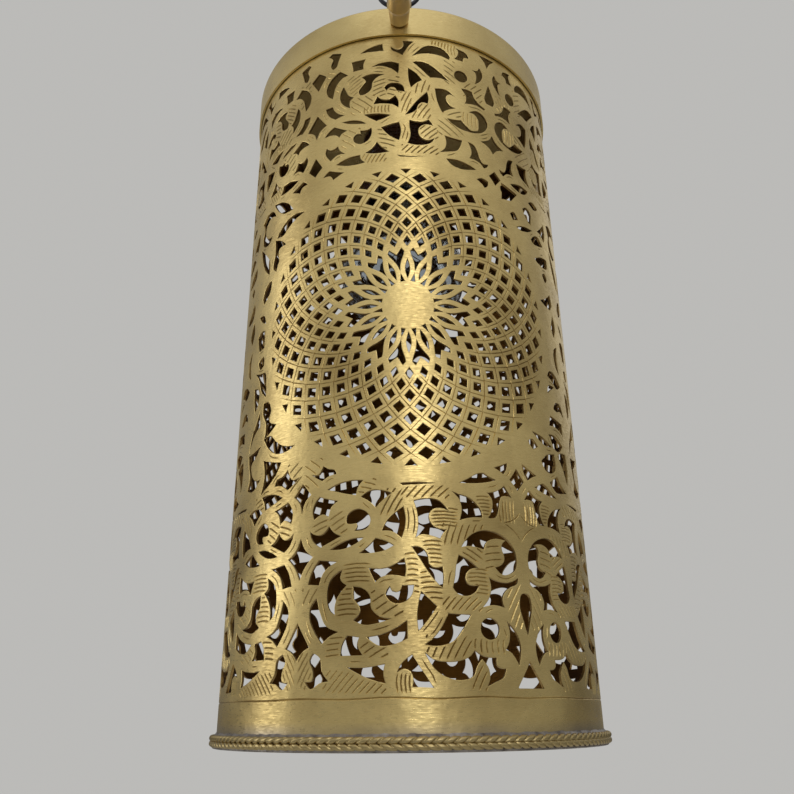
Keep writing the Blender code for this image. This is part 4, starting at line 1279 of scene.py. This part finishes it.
@dataclass
class BraidedRim:
    """Two ropes of opposite twist, laid together as a herringbone and soldered round the lower edge."""

    middle: float = SHADE_RADIUS + 0.00140
    heights: tuple[float, float] = (0.00175, 0.00352)
    turns: int = 72
    wire: float = 0.00112
    valley: float = 0.42
    steps: int = 12
    sides: int = 24
    shift: float = 0.7
    gap_depth: float = 0.42
    foot: Point = (0.0014, 0.0008)
    foot_darkening: float = 0.8

    def rope(self, name: str, height: float, hand: int) -> bpy.types.Object:
        """One closed rope of two thick strands, its grid following their twist.

        Args:
            name: The rope's name.
            height: Its middle's height over the rim's underside.
            hand: Which way it is twisted, 1 or -1.

        Returns:
            The rope.
        """
        count, sides = self.turns * self.steps, self.sides
        along = (2 * math.pi * np.arange(count) / count)[:, None]
        phase = (2 * math.pi * np.arange(sides) / sides)[None, :]
        gap = np.exp(-(np.cos(phase) / self.valley) ** 2)
        reach = self.wire * (1 - self.gap_depth * gap)
        around = hand * phase + hand * self.turns * along + (self.shift if hand > 0 else 0)
        radius = self.middle + reach * np.cos(around)
        spots = np.stack([radius * np.sin(along), -radius * np.cos(along),
                          RIM_Z + height + reach * np.sin(around)], axis=2).reshape(-1, 3)
        i, j = np.meshgrid(np.arange(count), np.arange(sides), indexing="ij")
        ahead, beside = (i + 1) % count, (j + 1) % sides
        faces = np.stack([i * sides + j, ahead * sides + j, ahead * sides + beside, i * sides + beside],
                         axis=2).reshape(-1, 4)
        mesh = bpy.data.meshes.new(name)
        mesh.from_pydata(spots.tolist(), [], (faces if hand > 0 else faces[:, ::-1]).tolist())
        mesh.shade_smooth()
        groove = mesh.attributes.new("groove", "FLOAT", "POINT")
        # The gaps between the strands are darkened as painted shade, and the rope is darker towards the
        # rim's underside.
        low = np.clip((RIM_Z + self.foot[0] - spots[:, 2]) / self.foot[1], 0, 1) * self.foot_darkening
        dark = np.clip(np.broadcast_to(gap, (count, sides)).reshape(-1) + low, 0, 1)
        groove.data.foreach_set("value", dark.astype(np.float32))
        obj = bpy.data.objects.new(name, mesh)
        bpy.context.scene.collection.objects.link(obj)
        return obj

    def build(self) -> None:
        """Makes both ropes, the solder over them and the lip under them."""
        for name, height, hand in zip(("rim_rope_lower", "rim_rope_upper"), self.heights, (-1, 1)):
            rope = self.rope(f"twisted_{name}", height, hand)
            finish_piece(rope, Finish.ROPE, nodes=(name,))
        inner = SHADE_RADIUS / MM + 0.05
        self.build_solder("solder_fillet", [(inner, 4.2), (inner + 0.9, 4.2), (inner + 0.7, 4.6),
                                            (inner + 0.25, 4.95), (inner, 5.3)], 4.2)
        self.build_solder("solder_bed", [(inner, 0.1), (inner + 1.0, 0.1), (inner + 1.35, 0.4),
                                         (inner + 1.35, 0.8), (inner + 1.25, 1.2), (inner + 1.45, 2.6),
                                         (inner + 1.25, 3.9), (inner, 4.1)], 4.1)

    @staticmethod
    def build_solder(name: str, profile: Profile, base: float) -> None:
        """Makes a ring of grey solder, uneven above a height.

        Args:
            name: The piece's name.
            profile: Its section, in millimetres.
            base: The height that it is even up to.
        """
        solder = turn(name, above_rim(profile), 360, closed=True)
        for vert in solder.data.vertices:
            angle = math.atan2(vert.co.x, -vert.co.y)
            lump = math.sin(37 * angle) + math.sin(61 * angle + 1.3) + math.sin(113 * angle + 0.4)
            share = (vert.co.z - RIM_Z - base * MM) / (1.1 * MM)
            vert.co.z += lump * 0.09 * MM * max(share, 0)
        finish_piece(solder, Finish.SOLDER, nodes=("rim_solder",))


@dataclass
class Cap:
    """The skirted cap, its screw holes, cable hole and centre hole."""

    radius: float = 0.0747
    sheet: float = 0.0009
    skirt: float = 0.0165
    screws: int = 3
    screw_hole: float = 0.00215
    hole: float = 0.0050
    cable: float = 0.032
    bend: float = 0.0009
    segments: int = 192

    def build(self) -> None:
        """Spins up the cap, hollows it and drills it."""
        deselect_all()
        middle = CAP_TOP - self.skirt / 2
        bpy.ops.mesh.primitive_cylinder_add(vertices=self.segments, radius=self.radius, depth=self.skirt,
                                            location=(0, 0, middle))
        cap = bpy.context.active_object
        cap.name = cap.data.name = "brushed_cap"
        bpy.ops.object.transform_apply(location=True)
        bpy.ops.object.mode_set(mode="EDIT")
        bpy.ops.mesh.select_mode(type="FACE")
        self.select_faces(cap, lambda face: face.normal.z < -0.9)
        bpy.ops.mesh.delete(type="FACE")
        self.select_faces(cap, lambda face: face.normal.z > 0.9)
        for width in (0.0012, 0.0200, 0.0200):
            bpy.ops.mesh.inset(thickness=width, depth=0)
        bpy.ops.object.mode_set(mode="OBJECT")
        apply_modifier(cap, "BEVEL", width=self.bend, segments=4, limit_method="ANGLE",
                       angle_limit=math.radians(60))
        apply_modifier(cap, "SOLIDIFY", thickness=self.sheet, offset=-1, use_even_offset=True)
        for i in range(self.screws):
            drill(cap, self.cutter(self.screw_hole, screw_place(i)))
        for behind in (self.cable, 0):
            drill(cap, self.cutter(self.hole, Matrix.Translation((0, behind, CAP_TOP))))
        smooth(cap, 32)
        finish_piece(cap, Finish.CAP, nodes=("cap",))

    @staticmethod
    def select_faces(obj: bpy.types.Object, wanted: Callable[[bmesh.types.BMFace], bool]) -> None:
        """Selects only the faces that a test picks, in edit mode."""
        bm = bmesh.from_edit_mesh(obj.data)
        for face in bm.faces:
            face.select_set(wanted(face))
        bm.select_flush_mode()
        bmesh.update_edit_mesh(obj.data)

    @staticmethod
    def cutter(radius: float, place: Matrix) -> bpy.types.Object:
        """A drill of that radius, standing across the sheet at a place."""
        deselect_all()
        bpy.ops.mesh.primitive_cylinder_add(vertices=40, radius=radius, depth=0.008)
        obj = bpy.context.active_object
        obj.data.transform(place)
        return obj


def screw_place(i: int) -> Matrix:
    """Where a thumb screw sits: its own +Z runs out along its axis from the skirt's outer face."""
    low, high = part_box(f"screw_boss_{i + 1}")
    middle = (low + high) / 2
    out = Vector((middle.x, middle.y, 0)).normalized()
    turn_ = out.to_track_quat("Z", "Y").to_matrix().to_4x4()
    return Matrix.Translation(out * Cap.radius + Vector((0, 0, middle.z))) @ turn_


@dataclass
class ThumbScrews:
    """Three polished screws through collars soldered to the skirt."""

    count: int = 3

    def build(self) -> None:
        """Turns one screw and one collar, and copies them round."""
        collar = [(2.15, 0.3), (2.75, 0.3), (2.9, 0.5), (2.9, 3.4), (2.7, 3.6), (2.15, 3.6)]
        shank = [(0, -0.7), (1.6, -0.7), (1.85, -0.4)]
        thread = [(1.85 - 0.22 * (i % 2), -0.4 + 0.2 * i) for i in range(1, 21)]
        knob = [(1.85, 3.9), (3.05, 3.9), (3.1, 0.7), (3.4, 0.5), (3.8, 0.5), (4.1, 0.7), (4.2, 1.1),
                (4.45, 3.5), (4.72, 6.7), (4.66, 7.0), (4.42, 7.15), (4.42, 7.5), (4.75, 7.65),
                (4.95, 7.95), (5.05, 8.5), (5.05, 20.2), (4.9, 21.0), (4.5, 21.8), (3.6, 22.4),
                (2.2, 22.7), (0, 22.8)]
        first_collar = turn("collar", [(r * MM, z * MM) for r, z in collar], 48, closed=True)
        first_screw = turn("screw", [(r * MM, z * MM) for r, z in shank + thread + knob], 64)
        for i in range(self.count):
            place = screw_place(i)
            boss = copy_of(first_collar, f"screw_collar_{i + 1}", place)
            finish_piece(boss, Finish.PLAIN, nodes=(f"screw_boss_{i + 1}",))
            screw = copy_of(first_screw, f"knob_screw_{i + 1}", place)
            finish_piece(screw, Finish.SCREW, f"thumb_screw_{i + 1}",
                         (f"thumb_screw_{i + 1}",))
        for obj in (first_collar, first_screw):
            bpy.data.objects.remove(obj, do_unlink=True)


@dataclass
class Stem:
    """The tube, its foot, the ball at its top and the iron ring it hangs on."""

    eye: float = CAP_TOP + 0.0882
    ball: float = 0.00825
    ring: float = 0.0123
    wire: float = 0.0012
    tube: float = 0.0065
    bore: float = 0.0050
    edge: float = 0.0003
    cut: float = 0.00025
    grooves: Point = (0.0030, 0.0045)
    play: float = 0.0006
    weld: float = 2.2

    def build(self) -> None:
        """Makes the foot, tube, ball and ring."""
        foot = [(5.0, 306.3), (13.9, 306.3), (14.0, 306.6), (14.0, 307.4), (13.7, 307.8), (12.3, 308.2),
                (11.6, 308.9), (10.2, 309.7), (8.6, 310.2), (8.2, 310.6), (8.5, 311.0), (8.3, 311.5),
                (7.5, 311.8), (7.4, 312.3), (5.0, 312.3)]
        finish_piece(turn("stem_foot", above_rim(foot), 96, True), Finish.STEM,
                     nodes=("stem_collar",))
        low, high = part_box("stem_tube")
        bottom, top = low.z, high.z
        outside, bore, edge, cut = self.tube, self.bore, self.edge, self.cut
        line = [(bore, bottom), (outside - edge, bottom), (outside, bottom + edge)]
        near, far = self.grooves
        for height in (bottom + near, bottom + far, top - far, top - near):
            line += [(outside, height - edge), (outside - cut, height), (outside, height + edge)]
        line += [(outside, top - edge), (outside - edge, top), (bore, top)]
        finish_piece(turn("stem_pipe", line, 72, True), Finish.STEM, nodes=("stem_tube",))
        self.build_ball()
        self.build_ring()

    def build_ball(self) -> None:
        """Turns the ball with its neck and files the cross hole that the ring runs in."""
        eye = self.eye
        line = [(0, eye - 0.0102), (0.0067, eye - 0.0102), (0.0070, eye - 0.0099), (0.0070, eye - 0.0081),
                (0.0067, eye - 0.0078), (0.0058, eye - 0.0071), (0.0055, eye - 0.0066)]
        line += [(r, eye + z) for r, z in arc((0, 0), self.ball, -46, 90, 22)]
        ball = turn("drilled_ball", line, 80)
        reach = self.ball + 0.001
        half = [reach * i / 12 for i in range(-12, 13)]
        waist = [(self.wire + self.play + self.ring - math.sqrt(self.ring ** 2 - x ** 2), x) for x in half]
        cutter = turn("cross_hole", [(0, -reach), *waist, (0, reach)], 48)
        sideways = Matrix.Translation((0, 0, eye)) @ Matrix.Rotation(math.pi / 2, 4, "Y")
        cutter.data.transform(sideways)
        drill(ball, cutter)
        smooth(ball, 40)
        finish_piece(ball, Finish.STEM, nodes=("stem_ball",))

    def build_ring(self) -> None:
        """Bends the dark ring and leaves the lump where its ends are welded."""
        deselect_all()
        bpy.ops.mesh.primitive_torus_add(major_segments=120, minor_segments=20, major_radius=self.ring,
                                         minor_radius=self.wire)
        ring = bpy.context.active_object
        ring.name = ring.data.name = "iron_ring"
        for vert in ring.data.vertices:
            angle = math.atan2(vert.co.y, vert.co.x)
            middle = Vector((math.cos(angle), math.sin(angle), 0)) * self.ring
            lump = math.exp(-((angle - self.weld) / 0.05) ** 2) * 0.10
            lump -= math.exp(-((angle - self.weld) / 0.016) ** 2) * 0.05
            vert.co = middle + (vert.co - middle) * (1 + lump)
        centre = (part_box("hanging_ring")[0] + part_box("hanging_ring")[1]) / 2
        ring.data.transform(Matrix.Translation(centre) @ Matrix.Rotation(math.pi / 2, 4, "X"))
        smooth(ring, 60)
        finish_piece(ring, Finish.RING, "hanging_ring", ("hanging_ring",))


# ---------------------------------------------------------------------------------------------
# The lamp holder and the bulb.


@dataclass
class LampHolder:
    """A ribbed brown holder with a domed cap under the lantern's cap."""

    low: float = 256.0
    high: float = 291.0
    rib: float = 2.35

    def build(self) -> None:
        """Makes the cap, the ribbed body and the cable bush."""
        cap = [(5.0, 299.9), (13.4, 299.85), (15.0, 299.5), (17.2, 298.2), (18.8, 296.7), (19.7, 295.2),
               (20.0, 293.7), (20.0, 291.5), (19.8, 291.3), (18.5, 291.3), (18.5, 294.5), (16.2, 297.7),
               (5.0, 298.4)]
        dome = turn("holder_dome", above_rim(cap), 80, True)
        finish_piece(dome, Finish.HOLDER, nodes=("holder_cap",))
        line = [(17.2, self.low), (18.8, self.low), (19.2, self.low + 0.4)]
        ribs = int((self.high - self.low - 2.0) / self.rib)
        for i in range(ribs):
            start = self.low + 0.9 + i * self.rib
            line += [(19.1, start), (19.75, start + 0.45), (20.0, start + 1.1), (19.75, start + 1.75)]
        line += [(19.1, self.high - 1.0), (19.1, self.high), (17.2, self.high)]
        body = turn("ribbed_holder", above_rim(line), 80, True)
        finish_piece(body, Finish.HOLDER, nodes=("holder_body",))
        bush = [(3.4, -3.2), (6.3, -3.2), (6.5, -3.0), (6.5, -1.2), (4.7, -1.2), (4.7, 0.3), (6.8, 0.3),
                (7.0, 0.5), (6.8, 1.5), (6.2, 2.8), (5.8, 3.0), (3.6, 3.0), (3.4, 2.8)]
        outlet = turn("cable_bush", [(r * MM, CAP_TOP + z * MM) for r, z in bush], 64, True)
        outlet.data.transform(Matrix.Translation((0, Cap.cable, 0)))
        finish_piece(outlet, Finish.BUSH, nodes=("cord_bush",))


@dataclass
class Bulb:
    """A clear bulb with a screw cap, glass mount and zigzag filament."""

    neck: float = 11.8
    wall: float = 0.8
    middle: float = 210.0
    round_: float = 30.0
    thread: float = 3.6
    thread_depth: float = 0.050
    threaded: Point = (264.5, 280.0)
    runout: float = 1.5

    def build(self) -> None:
        """Blows the glass, rolls the cap and strings the filament."""
        dome = arc((0, self.middle), self.round_, -90, 20, 26)
        shoulder = [(27.0, 223.5), (25.3, 228.8), (23.1, 234.0), (20.6, 239.4), (18.2, 244.6),
                    (16.1, 249.6), (14.4, 254.0), (13.0, 258.0), (12.2, 261.0), (self.neck, 264.0),
                    (self.neck, 268.0)]
        outside = dome + shoulder
        inside = [(max(r - self.wall, 0), h) for r, h in outside[1:]]
        inside[0] = (inside[0][0], outside[1][1] + self.wall * 0.9)
        line = [*outside, *inside[::-1], (0, self.middle - self.round_ + self.wall)]
        glass = turn("clear_bulb", above_rim(line), 80)
        finish_piece(glass, Finish.BULB, "bulb", ("bulb_glass",))
        shell = [(13.0, 263.1), (13.15, 263.3)] + [(13.15, 263.6 + 0.45 * i) for i in range(37)]
        shell += [(12.4, 281.2), (11.0, 282.9), (8.4, 283.0), (8.4, 282.3), (10.6, 282.1), (11.6, 280.8)]
        shell += [(12.3, 279.8 - 0.45 * i) for i in range(36)] + [(12.4, 263.1)]
        cap = turn("threaded_bulb_cap", above_rim(shell), 72, True)
        for vert in cap.data.vertices:
            height = (vert.co.z - RIM_Z) / MM
            fade = min(max((height - self.threaded[0]) / self.runout, 0), 1)
            fade *= min(max((self.threaded[1] - height) / self.runout, 0), 1)
            angle = math.atan2(vert.co.y, vert.co.x)
            wave = 0.5 - 0.5 * math.cos(2 * math.pi * height / self.thread - angle)
            share = 1 - self.thread_depth * fade * wave
            vert.co.x *= share
            vert.co.y *= share
        finish_piece(cap, Finish.NICKEL, "bulb", ("bulb_cap",))
        self.build_filament()

    def build_filament(self) -> None:
        """Bends the supports and the fine coil between them."""
        half = [(1.0, 227.2), (3.0, 224.0), (11.0, 218.0), (8.5, 213.4), (6.0, 218.0), (3.0, 213.4)]
        knots = [(-x, h) for x, h in half] + [(0.0, 218.0)] + half[::-1]
        route = []
        for (x0, h0), (x1, h1) in zip(knots, knots[1:]):
            for i in range(6):
                t = i / 6
                route.append(Vector(((x0 + (x1 - x0) * t) * MM, 0, RIM_Z + (h0 + (h1 - h0) * t) * MM)))
        route.append(Vector((knots[-1][0] * MM, 0, RIM_Z + knots[-1][1] * MM)))
        wire = tube("zigzag_filament", route, 0.00022, 2, False)
        finish_piece(wire, Finish.WIRE, "bulb", ("bulb_filament",))


@dataclass
class CadDress:
    """Finishes for the frame's own pieces that stay as they are."""

    finishes: dict[str, Finish] = field(default_factory=lambda: {
        "threaded_nipple": Finish.PLAIN, "cap_washer": Finish.NICKEL, "lock_nut": Finish.PLAIN,
        "holder_sleeve": Finish.NICKEL, "holder_insert": Finish.CERAMIC, "centre_contact": Finish.NICKEL,
        "terminal_screw_1": Finish.NICKEL, "terminal_screw_2": Finish.NICKEL,
        "bulb_insulator": Finish.SEAL, "bulb_contact": Finish.NICKEL, "bulb_mount": Finish.STEM_GLASS})

    def build(self) -> None:
        """Dresses each of them."""
        for name, finish in self.finishes.items():
            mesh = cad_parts[name].data
            mesh.materials.clear()
            mesh.materials.append(finish.made())
            LOG.info("%s keeps its shape, finish %s", name, finish.value.name)


# ---------------------------------------------------------------------------------------------
# The studio.


@dataclass
class Studio:
    """Pale floor, soft lights, and a camera close in front of the rim that looks up."""

    spot: tuple[float, float, float] = (0.0, -0.3242, -0.4077)
    focal: float = 762.4
    picture: int = 794
    pitch: float = 22.79
    yaw: float = -0.64
    roll: float = -0.59
    room: Colour = (0.50, 0.495, 0.48)
    floor_drop: float = 0.45
    floor_radius: float = 2.4
    fade_out: Point = (0.9, 2.2)

    def build(self) -> None:
        """Sets the camera, the lights, the room's light and the floor."""
        self.place_camera()
        self.add_light("window_light", (0.2, -1.5, 0.20), (0.0, 0.0, -0.27), 0.40, 1.3, 3.0)
        self.add_light("side_fill", (-1.75, -0.15, 0.1), (0.0, 0.0, -0.27), 0.7, 1.5, 4.6)
        self.add_light("ceiling_light", (0.1, -0.7, 1.3), (0.0, 0.0, -0.25), 1.4, 0.9, 1.5)
        self.add_light("back_fill", (1.2, 1.4, 0.7), (0.0, 0.0, -0.2), 1.2, 1.2, 1.5)
        self.light_room()
        bpy.context.scene.view_settings.view_transform = "Standard"
        self.lay_floor()

    def light_room(self) -> None:
        """Lights the room brighter above and in front, and shows it plain behind the lantern."""
        world = bpy.data.worlds.new("room_light")
        world.use_nodes = True
        tree = world.node_tree
        background = tree.nodes["Background"]
        background.inputs["Color"].default_value = (*self.room, 1.0)
        apart = tree.nodes.new("ShaderNodeSeparateXYZ")
        tree.links.new(tree.nodes.new("ShaderNodeTexCoord").outputs["Generated"], apart.inputs[0])
        shares = []
        for axis, (start, end), (low, high) in (("Z", (-0.35, 0.60), (0.28, 1.04)),
                                                ("Y", (-1.00, 0.60), (1.10, 0.55))):
            share = tree.nodes.new("ShaderNodeMapRange")
            share.inputs["From Min"].default_value, share.inputs["From Max"].default_value = start, end
            share.inputs["To Min"].default_value, share.inputs["To Max"].default_value = low, high
            tree.links.new(apart.outputs[axis], share.inputs["Value"])
            shares.append(share.outputs["Result"])
        both = tree.nodes.new("ShaderNodeMath")
        both.operation = "MULTIPLY"
        tree.links.new(shares[0], both.inputs[0])
        tree.links.new(shares[1], both.inputs[1])
        seen = tree.nodes.new("ShaderNodeMix")
        tree.links.new(tree.nodes.new("ShaderNodeLightPath").outputs["Is Camera Ray"], seen.inputs[0])
        tree.links.new(both.outputs[0], seen.inputs[2])
        seen.inputs[3].default_value = 1.0
        tree.links.new(seen.outputs[0], background.inputs["Strength"])
        bpy.context.scene.world = world

    def place_camera(self) -> None:
        """Puts the camera at its measured place and turn."""
        p, y, r = (math.radians(a) for a in (self.pitch, self.yaw, self.roll))
        ahead = Vector((math.sin(y) * math.cos(p), math.cos(y) * math.cos(p), math.sin(p)))
        right = Vector((math.cos(y), -math.sin(y), 0))
        up = right.cross(ahead)
        level, rise = right * math.cos(r) + up * math.sin(r), up * math.cos(r) - right * math.sin(r)
        data = bpy.data.cameras.new("camera")
        data.sensor_width = 36.0
        data.lens = self.focal * data.sensor_width / self.picture
        data.clip_start = 0.01
        camera = bpy.data.objects.new("camera", data)
        turn_ = Matrix((level, rise, -ahead)).transposed().to_4x4()
        camera.matrix_world = Matrix.Translation(self.spot) @ turn_
        bpy.context.scene.collection.objects.link(camera)
        bpy.context.scene.camera = camera

    @staticmethod
    def add_light(name: str, spot: tuple[float, float, float], aim: tuple[float, float, float],
                  width: float, height: float, power: float) -> None:
        """Hangs one soft rectangular light.

        Args:
            name: The light's name.
            spot: Where it hangs.
            aim: What it faces.
            width: Its width.
            height: Its height.
            power: Its power in watts.
        """
        data = bpy.data.lights.new(name, "AREA")
        data.shape = "RECTANGLE"
        data.size, data.size_y, data.energy = width, height, power
        light = bpy.data.objects.new(name, data)
        light.location = spot
        light.rotation_euler = (Vector(aim) - Vector(spot)).to_track_quat("-Z", "Y").to_euler()
        bpy.context.scene.collection.objects.link(light)

    def lay_floor(self) -> None:
        """Lays the pale floor under the lantern."""
        deselect_all()
        bpy.ops.mesh.primitive_circle_add(vertices=96, radius=self.floor_radius, fill_type="NGON",
                                          location=(0, 0, RIM_Z - self.floor_drop))
        floor = bpy.context.active_object
        floor.name = "studio_floor"
        paint = MouldedFinish("pale_floor", (0.74, 0.73, 0.71), (0.70, 0.69, 0.67), 0.7).material()
        self.fade(paint.node_tree)
        floor.data.materials.append(paint)

    def fade(self, tree: bpy.types.NodeTree) -> None:
        """Lets the floor fade into the room before its edge.

        Args:
            tree: The nodes of the floor's paint.
        """
        ending = next(node for node in tree.nodes if node.type == "OUTPUT_MATERIAL")
        far = tree.nodes.new("ShaderNodeVectorMath")
        far.operation = "LENGTH"
        tree.links.new(tree.nodes.new("ShaderNodeTexCoord").outputs["Object"], far.inputs[0])
        share = tree.nodes.new("ShaderNodeMapRange")
        share.inputs["From Min"].default_value, share.inputs["From Max"].default_value = self.fade_out
        tree.links.new(far.outputs["Value"], share.inputs["Value"])
        mix = tree.nodes.new("ShaderNodeMixShader")
        tree.links.new(share.outputs["Result"], mix.inputs[0])
        tree.links.new(ending.inputs["Surface"].links[0].from_socket, mix.inputs[1])
        tree.links.new(tree.nodes.new("ShaderNodeBsdfTransparent").outputs[0], mix.inputs[2])
        tree.links.new(mix.outputs[0], ending.inputs["Surface"])


def main() -> None:
    """Builds the studio and the lantern in order, and reports each piece."""
    logging.basicConfig(level=logging.INFO, format="%(message)s")
    Studio().build()
    for part in (PiercedShade(), BraidedRim(), Cap(), ThumbScrews(), Stem(), LampHolder(), Bulb(),
                 CadDress()):
        LOG.info("-- %s", type(part).__name__)
        part.build()


if __name__ == "__main__":
    main()
